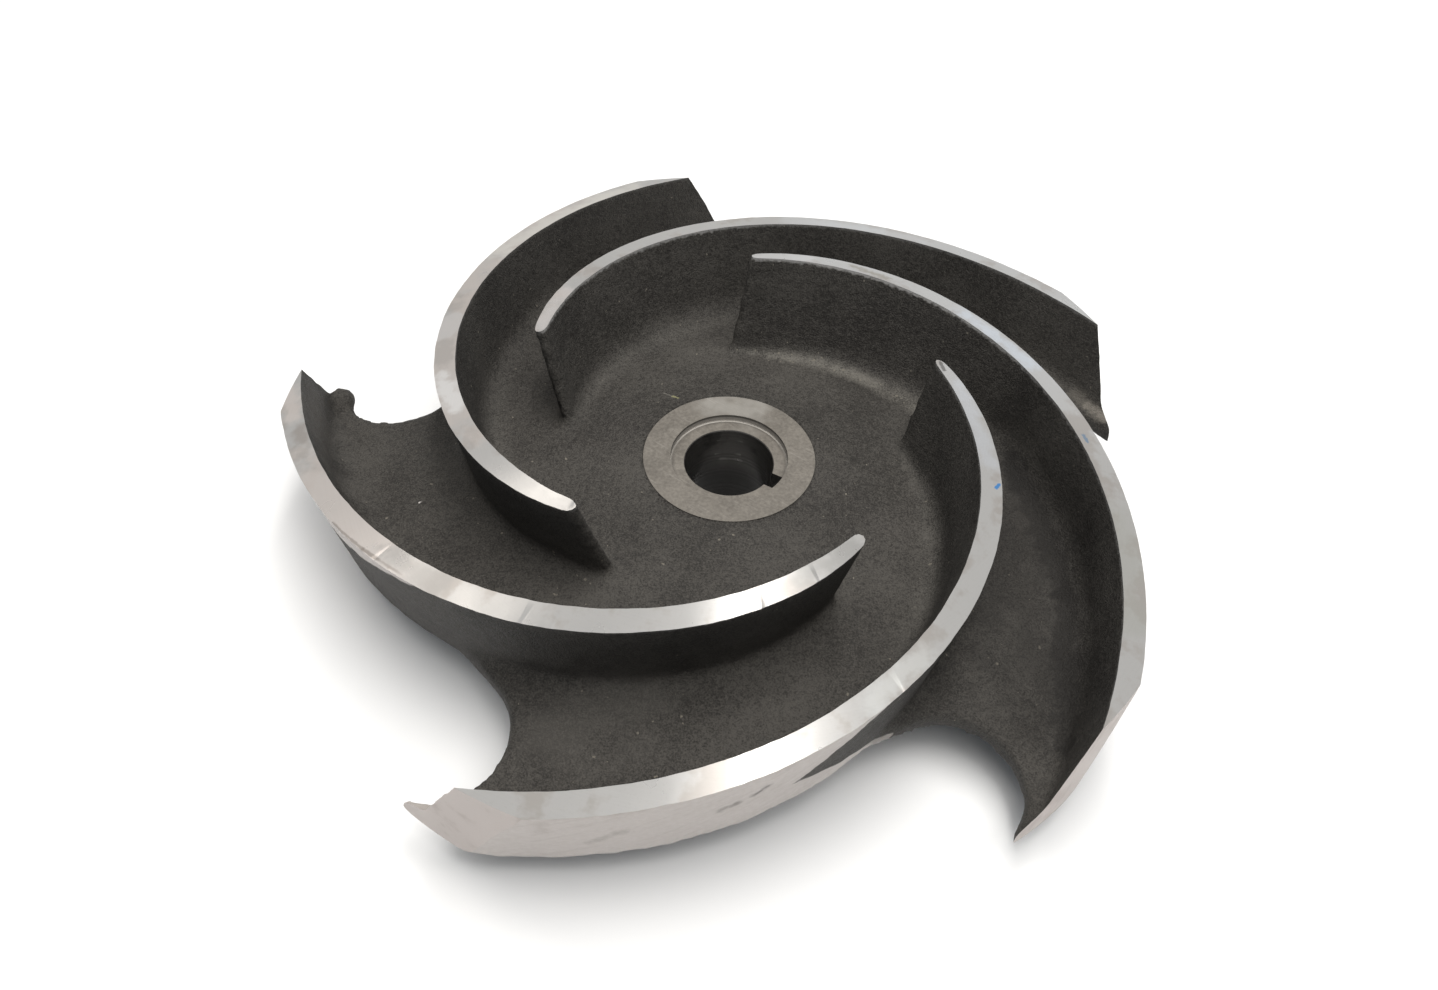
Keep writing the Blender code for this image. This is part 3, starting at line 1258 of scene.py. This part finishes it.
    def burr_share(self, graph: FinishGraph) -> Socket:
        """Where a burr hangs under the turned tips.

        Args:
            graph: The material that asks.

        Returns:
            How strongly it shows.
        """
        height = graph.axis("Z")
        fall = graph.maths("MULTIPLY", graph.radius(), self.lathe.tip_cone_slope)
        apex = self.lathe.tip_cone(0.0)
        below = graph.maths("SUBTRACT", apex, graph.maths("ADD", height, fall))
        fray = graph.noise(self.burr_edge)
        frayed = graph.weighed((below, 1.0), (fray, self.burr_edge_reach))
        near = graph.span(frayed, self.burr_band, FALLING)
        return graph.maths("MULTIPLY", near, graph.stored("burr"))


@dataclass(frozen=True)
class TurnedIron:
    """Bright iron with the rings that a lathe tool leaves, handling smudges, and painted light and
    shade.
    """

    name: str
    base: Colour
    smudge: Colour
    roughness: float
    anisotropy: float
    metallic: float = 0.45
    rings: Grain = Grain(2600.0, 2.0, 0.6)
    ring_depth: float = 0.00002
    ring_shade: float = 0.92
    smudges: Grain = Grain(55.0, 4.0, 0.62)
    smudge_band: Range = (0.50, 0.62)
    smudge_share: float = 0.7
    speckle: Colour = rgb(0.34, 0.32, 0.30)
    speckles: Grain = Grain(1300.0, 2.0, 0.6)
    speckle_band: Range = (0.58, 0.74)
    speckle_share: float = 0.15
    rough_steps: Range = (-0.03, 0.05)
    # Painted shade: the colour that the iron darkens to towards the bottom.
    painted_shade: Colour = rgb(0.012, 0.011, 0.010)
    painted_shade_below: Range | None = None
    marks: tuple[Mark, ...] = ()

    def material(self) -> bpy.types.Material:
        """Build the finish.

        Returns:
            The material.
        """
        graph = FinishGraph(self.name)
        height = graph.axis("Z")
        outwards = graph.maths("ADD", graph.radius(), height)
        rings_place = graph.add("ShaderNodeCombineXYZ", {0: outwards}).outputs[0]
        rings = graph.noise(self.rings, rings_place)
        cloud = graph.noise(self.smudges)
        smudged = graph.span(cloud, self.smudge_band, (0.0, self.smudge_share))
        tone = graph.mix(smudged, self.base, self.smudge)
        speckles = graph.noise(self.speckles)
        speckled = graph.span(speckles, self.speckle_band, (0.0, self.speckle_share))
        tone = graph.mix(speckled, tone, self.speckle)
        # Painted shade: darker towards the bottom.
        if self.painted_shade_below is not None:
            tone = graph.mix(graph.span(height, self.painted_shade_below), self.painted_shade, tone)
        for mark in self.marks:
            tone = graph.marked(tone, mark)
        shade = rgb(self.ring_shade, self.ring_shade, self.ring_shade)
        darker = graph.mix(1.0, tone, shade, Blend.SHADE)
        smooth, rough = [self.roughness + step for step in self.rough_steps]
        inputs = {
            "Base Color": graph.mix(rings, darker, tone),
            "Metallic": self.metallic,
            "Roughness": graph.span(cloud, NOISE_SPREAD, (smooth, rough)),
            "Anisotropic": self.anisotropy,
            "Tangent": graph.flat(),
            "Normal": graph.bump(rings, self.ring_depth),
        }
        return graph.finished(inputs)


TURNED_TIPS = TurnedIron(
    name="turned_tips",
    base=rgb(0.505, 0.493, 0.477),
    smudge=rgb(0.40, 0.365, 0.335),
    roughness=0.30,
    anisotropy=0.83,
    # Among these marks are painted reflections, painted light and painted shade on the tips.
    marks=(
        Mark((0.0866, -0.0330, 0.0717), (0.0876, -0.0318, 0.0716), 0.0009,
             rgb(0.05, 0.25, 0.60), 0.9),
        Mark((0.1220, 0.0014, 0.0640), (0.1231, -0.0014, 0.0636), 0.0009,
             rgb(0.14, 0.24, 0.36), 0.7),
        Mark((0.0717, 0.0206, 0.0766), (0.0727, 0.0168, 0.0766), 0.0010,
             rgb(0.14, 0.13, 0.12), 0.8),
        Mark((0.0429, 0.0766, 0.0731), (0.0560, 0.0715, 0.0722), 0.0024,
             rgb(0.30, 0.27, 0.22), 0.7, 0.9),
        # Painted reflection: a cool lighter patch on vane 4's tip.
        Mark((0.0846, 0.0570, 0.0693), (0.1068, 0.0339, 0.0666), 0.0060,
             rgb(0.60, 0.63, 0.67), 0.8, 0.9, 160.0),
        # Painted reflection: a cool lighter patch on vane 3's nose.
        Mark((0.0774, 0.0095, 0.0757), (0.0850, -0.0228, 0.0731), 0.0060,
             rgb(0.58, 0.59, 0.61), 0.7, 0.9, 160.0),
        # Painted light on vane 3's tip, further out.
        Mark((0.0587, -0.0977, 0.0661), (0.0450, -0.1113, 0.0645), 0.0060,
             rgb(0.64, 0.64, 0.62), 0.7, 0.9, 160.0),
        Mark((-0.0681, 0.0289, 0.0767), (-0.0630, 0.0510, 0.0749), 0.0060,
             rgb(0.67, 0.63, 0.61), 0.85, 0.9, 160.0),
        # Painted warm light along vane 1's tip.
        Mark((-0.1000, -0.0050, 0.0700), (-0.0760, 0.1130, 0.0600), 0.0380,
             rgb(0.62, 0.560, 0.518), 0.75, 0.8, 90.0),
        # Painted warm light on vane 2's tip.
        Mark((-0.1368, -0.0341, 0.0588), (-0.1139, -0.0606, 0.0621), 0.0220,
             rgb(0.64, 0.580, 0.540), 0.75, 0.8, 90.0),
        # Painted warm light on vane 2's tip at the rim.
        Mark((-0.1577, 0.0110, 0.0542), (-0.1540, -0.0020, 0.0553), 0.0060,
             rgb(0.66, 0.600, 0.560), 0.8, 0.9, 120.0),
        Mark((-0.0928, -0.0075, 0.0717), (-0.1007, 0.0045, 0.0697), 0.0070,
             rgb(0.80, 0.78, 0.76), 0.90, 0.9, 160.0),
        Mark((-0.1261, -0.0534, 0.0599), (-0.1133, -0.0649, 0.0616), 0.0007,
             rgb(0.30, 0.265, 0.240), 0.75, 0.8, 300.0),
        Mark((-0.1133, -0.0649, 0.0616), (-0.0986, -0.0754, 0.0633), 0.0008,
             rgb(0.28, 0.245, 0.220), 0.80, 0.8, 300.0),
        Mark((-0.1483, -0.0100, 0.0568), (-0.1465, -0.0140, 0.0572), 0.0050,
             rgb(0.36, 0.320, 0.290), 0.70, 0.9, 160.0),
        Mark((-0.1010, -0.0690, 0.0633), (-0.0880, -0.0790, 0.0650), 0.0090,
             rgb(0.37, 0.355, 0.340), 0.80, 0.9, 120.0),
        Mark((0.0250, -0.0760, 0.0752), (0.0393, -0.0655, 0.0762), 0.0060,
             rgb(0.38, 0.370, 0.355), 0.75, 0.9, 160.0),
        # Painted shade on the outer part of vane 4's tip.
        Mark((0.1296, -0.0343, 0.0607), (0.1265, -0.0720, 0.0575), 0.0120,
             rgb(0.43, 0.425, 0.385), 0.50, 1.0, 90.0),
        # Painted light on vane 0's tip towards the rim.
        Mark((0.0215, 0.1140, 0.0655), (0.0697, 0.1133, 0.0609), 0.0080,
             rgb(0.60, 0.60, 0.60), 0.55, 0.9, 120.0),
        # Painted light on vane 4's nose.
        Mark((0.0060, 0.0745, 0.0766), (0.0257, 0.0776, 0.0747), 0.0050,
             rgb(0.62, 0.61, 0.60), 0.70, 0.9, 160.0),
        Mark((-0.1033, 0.0258, 0.0679), (-0.1012, 0.0160, 0.0691), 0.0055,
             rgb(0.44, 0.41, 0.385), 0.6, 0.6, 120.0),
        Mark((-0.1050, 0.0410, 0.0665), (-0.1045, 0.0330, 0.0674), 0.0060,
             rgb(0.62, 0.60, 0.585), 0.7, 0.4, 90.0),
        Mark((-0.0928, 0.0896, 0.0621), (-0.0476, 0.1465, 0.0554), 0.0100,
             rgb(0.70, 0.67, 0.62), 0.9, 0.9, 120.0),
    ),
)

TURNED_RIM = TurnedIron(
    name="turned_rim",
    base=rgb(0.54, 0.485, 0.455),
    smudge=rgb(0.44, 0.385, 0.355),
    roughness=0.45,
    anisotropy=0.5,
    metallic=0.25,
)

BORED_IRON = TurnedIron(
    name="bored_iron",
    base=rgb(0.15, 0.142, 0.132),
    smudge=rgb(0.05, 0.046, 0.042),
    roughness=0.30,
    anisotropy=0.4,
    metallic=0.7,
    rings=Grain(640.0, 2.0, 0.6),
    ring_depth=0.00012,
    ring_shade=0.55,
    speckle=rgb(0.06, 0.056, 0.052),
    # Painted shade deep in the bore, fading out between these heights.
    painted_shade_below=(0.017, 0.038),
    marks=(
        Mark((-0.0045, 0.0152, 0.0371), (0.0045, 0.0152, 0.0371), 0.0008,
             rgb(0.34, 0.33, 0.31), 0.7, 1.0, 90.0),
        Mark((-0.0050, 0.0150, 0.0301), (0.0040, 0.0153, 0.0301), 0.0008,
             rgb(0.30, 0.29, 0.27), 0.7, 1.0, 90.0),
        Mark((-0.0030, 0.0156, 0.0271), (0.0045, 0.0152, 0.0271), 0.0010,
             rgb(0.24, 0.23, 0.22), 0.5, 1.0, 90.0),
    ),
)


@dataclass(frozen=True)
class FacedHub:
    """The hub's faced ring and counterbore: matt, mottled iron, with painted shade and highlights.

    The counterbore's bands are distances below the hub's face, inside its wall, or above its floor.
    """

    lathe: LatheSizes
    light: Colour = rgb(0.225, 0.205, 0.178)
    dull: Colour = rgb(0.115, 0.103, 0.088)
    clouds: Grain = Grain(120.0, 4.0, 0.65)
    sand: Grain = Grain(800.0, 2.0, 0.6)
    tone_weight: float = 0.8
    tone_band: Range = (0.40, 1.20)
    # Painted highlight: a lighter patch on the far side of the faced ring.
    shine: Mark = Mark(
        (-0.0060, 0.0250, 0.0450), (0.0080, 0.0250, 0.0450), 0.0110,
        rgb(0.30, 0.285, 0.26), 0.75, 1.0, 200.0,
    )
    scratches: Brush = Brush(35.0, (70.0, 1600.0, 70.0), 1.0, 0.5)
    scratch_band: Range = (0.66, 0.72)
    scratch_share: float = 0.1
    # Painted shade: darkens the floor by the counterbore's corner and the upper part of its wall.
    painted_shade: Colour = rgb(0.05, 0.046, 0.042)
    # Colour of the lighter scratches, and of the painted highlights on the counterbore's wall and
    # far corner.
    scratch_and_painted_glint: Colour = rgb(0.55, 0.52, 0.48)
    sunk_band: Range = (0.0004, 0.0001)
    corner_band: Range = (0.0020, 0.0005)
    corner_share: float = 0.3
    wall_band: Range = (0.0002, 0.0001)
    wall_glint: float = 0.5
    shade_levels: Range = (0.5, 0.85)
    shade_share: float = 0.9
    glint_height: float = 0.0007
    far_band: Range = (0.004, 0.018)
    far_glint: Range = (0.15, 0.9)
    metallic: float = 0.2
    roughness: Range = (0.48, 0.62)
    sand_depth: float = 0.00008

    def material(self) -> bpy.types.Material:
        """Build the finish.

        Returns:
            The material.
        """
        graph = FinishGraph("faced_hub")
        cloud = graph.noise(self.clouds)
        sand = graph.noise(self.sand)
        mottled = graph.weighed((cloud, self.tone_weight), (sand, self.tone_weight))
        skin = graph.mix(graph.span(mottled, self.tone_band), self.dull, self.light)
        # Paint the highlight on the far side of the ring.
        skin = graph.marked(skin, self.shine)
        lines = graph.lines(self.scratches, graph.place)
        scratched = graph.span(lines, self.scratch_band, (0.0, self.scratch_share))
        skin = graph.mix(scratched, skin, self.scratch_and_painted_glint)
        inputs = {
            "Base Color": self.cornered(graph, skin),
            "Metallic": self.metallic,
            "Roughness": graph.span(cloud, NOISE_SPREAD, self.roughness),
            "Normal": graph.bump(sand, self.sand_depth),
        }
        return graph.finished(inputs)

    def cornered(self, graph: FinishGraph, skin: Socket) -> Socket:
        """Paint shade and highlights on the counterbore's wall and corner.

        Args:
            graph: The material that asks.
            skin: The colour below.

        Returns:
            The colour with them on it.
        """
        lathe = self.lathe
        height = graph.axis("Z")
        radius = graph.radius()
        top, edge = lathe.hub_length, lathe.counterbore_radius
        floor = top - lathe.counterbore_depth
        sunk = graph.span(height, (top - self.sunk_band[0], top - self.sunk_band[1]), FALLING)
        beside = (edge - self.corner_band[0], edge - self.corner_band[1])
        near = graph.span(radius, beside, (0.0, self.corner_share))
        # Painted shade on the counterbore's floor by its corner.
        skin = graph.mix(graph.maths("MULTIPLY", sunk, near), skin, self.painted_shade)

        wall = graph.span(radius, (edge - self.wall_band[0], edge - self.wall_band[1]))
        wall = graph.maths("MULTIPLY", wall, sunk)
        # Painted highlight over the counterbore's wall, under the painted shade of its upper part.
        skin = graph.mix(graph.maths("MULTIPLY", wall, self.wall_glint), skin, self.scratch_and_painted_glint)
        low, high = [floor + level * lathe.counterbore_depth for level in self.shade_levels]
        shaded = graph.span(height, (low, high), (0.0, self.shade_share))
        # Painted shade on the upper part of the counterbore's wall.
        skin = graph.mix(graph.maths("MULTIPLY", wall, shaded), skin, self.painted_shade)

        # Painted highlight along the counterbore's corner at its floor, strongest on the far side.
        half = 0.5 * self.glint_height
        above = graph.span(height, (floor + half, floor + self.glint_height))
        corner = graph.span(radius, (edge - self.glint_height, edge - half))
        bright = graph.maths("MULTIPLY", corner, sunk)
        bright = graph.maths("MULTIPLY", bright, graph.maths("SUBTRACT", 1.0, above))
        far = graph.span(graph.axis("Y"), self.far_band, self.far_glint)
        return graph.mix(graph.maths("MULTIPLY", bright, far), skin, self.scratch_and_painted_glint)


@dataclass
class Casting:
    """The whole impeller as one piece.

    The face band is how far off a vane's centreline its skin lies. The spiral sine is that of the
    angle between the vane and the way round the bore.
    """

    lathe: LatheSizes
    pattern: VanePattern
    voxel: float = 0.0018
    smooth_factor: float = 0.5
    smooth_rounds: int = 4
    sliver: float = 0.00003
    ripple_depth: float = 0.0005
    ripple_size: float = 0.016
    grit_depth: float = 0.00025
    grit_size: float = 0.004
    cast: tuple[VaneCast, ...] = VANES_AS_CAST
    lump_place: Place = (-0.1512, 0.0395, 0.0232)
    lump_radius: float = 0.0049
    lump_rounds: int = 3
    edge_angle: float = 25.0
    spiral_sine: float = 0.343
    face_band: Range = (0.0015, 0.0085)
    ground_from: float = 0.09
    ground_floor: float = -0.15
    ground_gain: float = 2.0
    burr_behind: float = 0.12
    burr_from: float = 0.85
    burr_fade: Range = (0.098, 0.118)
    burr_least: float = 0.35
    dust_seat: float = 0.0020
    dust_reach: float = 0.0050
    dust_fade: Range = (0.086, 0.104)
    dust_behind: float = 0.15

    def __post_init__(self) -> None:
        """Lay out the vanes."""
        self.vanes = [
            Vane(self.lathe, self.pattern, number, cast) for number, cast in enumerate(self.cast)
        ]

    def poured(self) -> bpy.types.Object:
        """Pour the casting: shroud and vanes fused, with the soft edges of a sand mould.

        Returns:
            The rough casting with its stock.
        """
        body = Shroud(self.lathe, self.pattern, self.vanes).build()
        builder = bmesh.new()
        builder.from_mesh(body.data)
        for vane in self.vanes:
            part = vane.build()
            builder.from_mesh(part.data)
            bpy.data.objects.remove(part, do_unlink=True)
        bmesh.ops.create_icosphere(
            builder,
            subdivisions=self.lump_rounds,
            radius=self.lump_radius,
            matrix=Matrix.Translation(self.lump_place),
        )
        mesh = bpy.data.meshes.new(PIECE)
        builder.to_mesh(mesh)
        builder.free()
        bpy.data.objects.remove(body, do_unlink=True)
        item = bpy.data.objects.new(PIECE, mesh)
        bpy.context.scene.collection.objects.link(item)
        remesh = item.modifiers.new("sand", "REMESH")
        remesh.mode = "VOXEL"
        remesh.voxel_size = self.voxel
        smooth = item.modifiers.new("draft", "SMOOTH")
        smooth.factor = self.smooth_factor
        smooth.iterations = self.smooth_rounds
        for name, size, depth in (
            ("ripple", self.ripple_size, self.ripple_depth),
            ("grit", self.grit_size, self.grit_depth),
        ):
            rough = item.modifiers.new(name, "DISPLACE")
            rough.texture = bpy.data.textures.new(name, "CLOUDS")
            rough.texture.noise_scale = size
            rough.strength = depth
        apply_modifiers(item)
        return item

    def build(self) -> bpy.types.Object:
        """Pour, turn, key and dress the casting.

        Returns:
            The finished piece.
        """
        item = self.poured()
        log.info("poured: %d faces", len(item.data.polygons))
        for _ in Surface:
            item.data.materials.append(None)
        combine(item, [HubCore(self.lathe).build()], Cut.JOIN)
        combine(item, [Turning(self.lathe).build()], Cut.KEEP_INSIDE)
        combine(item, [Keyway(self.lathe).build()], Cut.TAKE_OFF)
        log.info("turned: %d faces", len(item.data.polygons))
        self.mark_zones(item)
        self.sharpen(item)
        self.dress(item)
        return item

    def mark_zones(self, item: bpy.types.Object) -> None:
        """Store where each point lies on its vane, and how far it is ground, dusty or burred.

        Args:
            item: The casting.
        """
        mesh = item.data
        ground = mesh.attributes.new("ground", "FLOAT", "POINT")
        dust = mesh.attributes.new("dust", "FLOAT", "POINT")
        burr = mesh.attributes.new("burr", "FLOAT", "POINT")
        place = mesh.attributes.new("vane_place", "FLOAT_VECTOR", "POINT")
        inner, outer = self.face_band
        for index, vert in enumerate(mesh.vertices):
            point = vert.co
            radius = point.to_2d().length
            azimuth = math.degrees(math.atan2(point.y, point.x))
            low = self.lathe.shroud_front(radius)
            height = (point.z - low) / (self.lathe.tip_cone(radius) - low)
            for vane in self.vanes:
                if radius < vane.cast.foot_nose_radius:
                    continue
                foot = vane.foot_angle(radius)
                lean = vane.tip_angle(radius) - foot
                behind = foot + lean * min(max(height, self.ground_floor), 1.0)
                offset = self.aside(azimuth - vane.base - behind, radius)
                if inner < offset < outer and radius > self.ground_from:
                    inside = vane.cast.zone.inside(behind, height)
                    ground.data[index].value = ramp(0.5 + self.ground_gain * inside, RISING)
                    travelled = (self.lathe.rim_radius - radius) / self.spiral_sine
                    place.data[index].vector = (travelled, point.z - low, float(vane.number))
                if abs(offset) < outer and height > self.burr_from:
                    share = vane.cast.burr if offset < 0.0 else self.burr_behind
                    faded = self.lingering(radius, self.burr_fade)
                    left = self.burr_least + (1.0 - self.burr_least) * faded
                    burr.data[index].value = share * left
                across = self.aside(azimuth - vane.base - foot, radius)
                gap = self.off_seat(vane, radius, across, point.z - low)
                if gap < self.dust_reach:
                    share = vane.cast.dust * (1.0 - gap / self.dust_reach)
                    side = 1.0 if across < 0.0 else self.dust_behind
                    dust.data[index].value = share * side * self.lingering(radius, self.dust_fade)

    def off_seat(self, vane: Vane, radius: float, across: float, height: float) -> float:
        """How far a point lies off the line along a vane's root where the dust settles.

        Args:
            vane: The vane.
            radius: The point's radius.
            across: Its distance from the foot's centreline, positive on the convex side.
            height: Its height over the shroud.

        Returns:
            The distance.
        """
        face = vane.half_thickness((radius - vane.cast.foot_nose_radius) / self.spiral_sine)
        beside = across - face if across > 0.0 else -across - face - vane.run_out(radius, -1.0)
        return math.hypot(beside - self.dust_seat, height - self.dust_seat)

    def aside(self, turn: float, radius: float) -> float:
        """How far a point lies off a vane's centreline, at right angles to it.

        Args:
            turn: The angle off the centreline at the point's radius, in degrees.
            radius: The radius.

        Returns:
            The distance, positive on the convex side.
        """
        return math.radians((turn + 180.0) % 360.0 - 180.0) * radius * self.spiral_sine

    @staticmethod
    def lingering(radius: float, band: Range) -> float:
        """How much dust or burr is left at a radius: none past the band."""
        return 1.0 - ramp(radius, band)

    def sharpen(self, item: bpy.types.Object) -> None:
        """Clear the cuts' slivers, shade smooth, and keep an edge wherever the tool left one.

        Args:
            item: The casting.
        """
        builder = bmesh.new()
        builder.from_mesh(item.data)
        many_sided = [face for face in builder.faces if len(face.verts) > 4]
        bmesh.ops.triangulate(builder, faces=many_sided)
        bmesh.ops.dissolve_degenerate(builder, dist=self.sliver, edges=builder.edges)
        for face in builder.faces:
            face.smooth = True
        for edge in builder.edges:
            kinds = {face.material_index for face in edge.link_faces}
            turned = kinds != {int(Surface.CAST)}
            bent = edge.calc_face_angle(0.0) > math.radians(self.edge_angle)
            edge.smooth = not (len(kinds) > 1 or (turned and bent))
        builder.to_mesh(item.data)
        builder.free()

    def dress(self, item: bpy.types.Object) -> None:
        """Give the casting its finishes.

        Args:
            item: The casting.
        """
        finishes = {
            Surface.CAST: CastSkin(self.lathe),
            Surface.TIP: TURNED_TIPS,
            Surface.RIM: TURNED_RIM,
            Surface.HUB: FacedHub(self.lathe),
            Surface.BORE: BORED_IRON,
        }
        for surface, finish in finishes.items():
            item.data.materials[surface] = finish.material()


@dataclass(frozen=True)
class Panel:
    """One soft light panel, which faces the casting."""

    name: str
    place: Place
    size: tuple[float, float]
    power: float
    mirrored: bool
    turned: bool = True
    colour: Colour = rgb(1.0, 0.98, 0.95)

    def hang(self) -> None:
        """Hang the panel and turn it to the casting."""
        light = bpy.data.lights.new(self.name, "AREA")
        light.shape = "RECTANGLE"
        light.size, light.size_y = self.size
        light.energy = self.power
        light.color = self.colour[:3]
        item = bpy.data.objects.new(self.name, light)
        away = Vector(self.place)
        item.location = away
        if self.turned:
            item.rotation_mode = "QUATERNION"
            item.rotation_quaternion = away.to_track_quat("Z", "Y")
        item.visible_glossy = self.mirrored
        bpy.context.scene.collection.objects.link(item)


@dataclass(frozen=True)
class Studio:
    """A plain pale floor, soft light and the camera."""

    floor_radius: float = 1.6
    floor_sides: int = 64
    floor_roughness: float = 0.9
    floor_colour: Colour = rgb(0.86, 0.86, 0.86)
    sky_strength: float = 0.24
    sky_colour: Colour = rgb(0.86, 0.93, 1.0)
    backdrop_colour: Colour = rgb(0.96, 0.96, 0.96)
    panels: tuple[Panel, ...] = (
        Panel("overhead", (0.27, -0.35, 2.16), (2.0, 2.0), 47.0, False),
        Panel("strip", (0.12, 0.05, 1.3), (0.16, 1.2), 8.0, True, False),
        Panel("left", (-0.90, 0.62, 1.65), (0.5, 0.5), 4.6, True, True, rgb(1.0, 0.94, 0.87)),
        Panel("window", (1.3, 2.7, 0.8), (2.2, 1.2), 5.0, True, True, rgb(0.82, 0.91, 1.0)),
    )
    camera_place: Place = (-0.00289, -0.31524, 0.37454)
    camera_elevation: float = 48.03
    camera_roll: float = 3.145
    lens: float = 31.99
    sensor: float = 36.0
    nearest_seen: float = 0.01

    def build(self) -> None:
        """Set the floor, the lights and the camera."""
        self.floor()
        self.sky()
        for panel in self.panels:
            panel.hang()
        self.camera()

    def floor(self) -> None:
        """Lay the floor under the casting."""
        builder = bmesh.new()
        bmesh.ops.create_circle(
            builder, cap_ends=True, segments=self.floor_sides, radius=self.floor_radius
        )
        floor = to_object("floor", builder)
        material = bpy.data.materials.new("floor")
        material.use_nodes = True
        shader = material.node_tree.nodes["Principled BSDF"]
        shader.inputs["Base Color"].default_value = self.floor_colour
        shader.inputs["Roughness"].default_value = self.floor_roughness
        floor.data.materials.append(material)

    def sky(self) -> None:
        """Surround the casting with faint cool light, and stand it against a pale backdrop."""
        world = bpy.data.worlds.new("studio")
        world.use_nodes = True
        tree = world.node_tree
        sky = tree.nodes["Background"]
        sky.inputs["Color"].default_value = self.sky_colour
        sky.inputs["Strength"].default_value = self.sky_strength
        backdrop = tree.nodes.new("ShaderNodeBackground")
        backdrop.inputs["Color"].default_value = self.backdrop_colour
        seen = tree.nodes.new("ShaderNodeLightPath").outputs["Is Camera Ray"]
        chosen = tree.nodes.new("ShaderNodeMixShader")
        tree.links.new(seen, chosen.inputs[0])
        tree.links.new(sky.outputs[0], chosen.inputs[1])
        tree.links.new(backdrop.outputs[0], chosen.inputs[2])
        tree.links.new(chosen.outputs[0], tree.nodes["World Output"].inputs["Surface"])
        bpy.context.scene.world = world

    def camera(self) -> None:
        """Stand the camera at the photograph's viewing angle."""
        camera = bpy.data.cameras.new("camera")
        camera.lens = self.lens
        camera.sensor_width = self.sensor
        camera.clip_start = self.nearest_seen
        item = bpy.data.objects.new("camera", camera)
        elevation = math.radians(self.camera_elevation)
        tilt = Matrix.Rotation(0.5 * math.pi - elevation, 4, "X")
        roll = Matrix.Rotation(math.radians(self.camera_roll), 4, "Z")
        item.matrix_world = Matrix.Translation(self.camera_place) @ tilt @ roll
        bpy.context.scene.collection.objects.link(item)
        bpy.context.scene.camera = item
        bpy.context.scene.view_settings.view_transform = "Standard"


def main() -> None:
    """Build the studio and the impeller."""
    logging.basicConfig(level=logging.INFO, format="%(message)s")
    Studio().build()
    impeller = Casting(LatheSizes(), VanePattern()).build()
    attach(impeller, BODY)
    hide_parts(NODE)
    log.info("%s: %d faces", impeller.name, len(impeller.data.polygons))


if __name__ == "__main__":
    main()
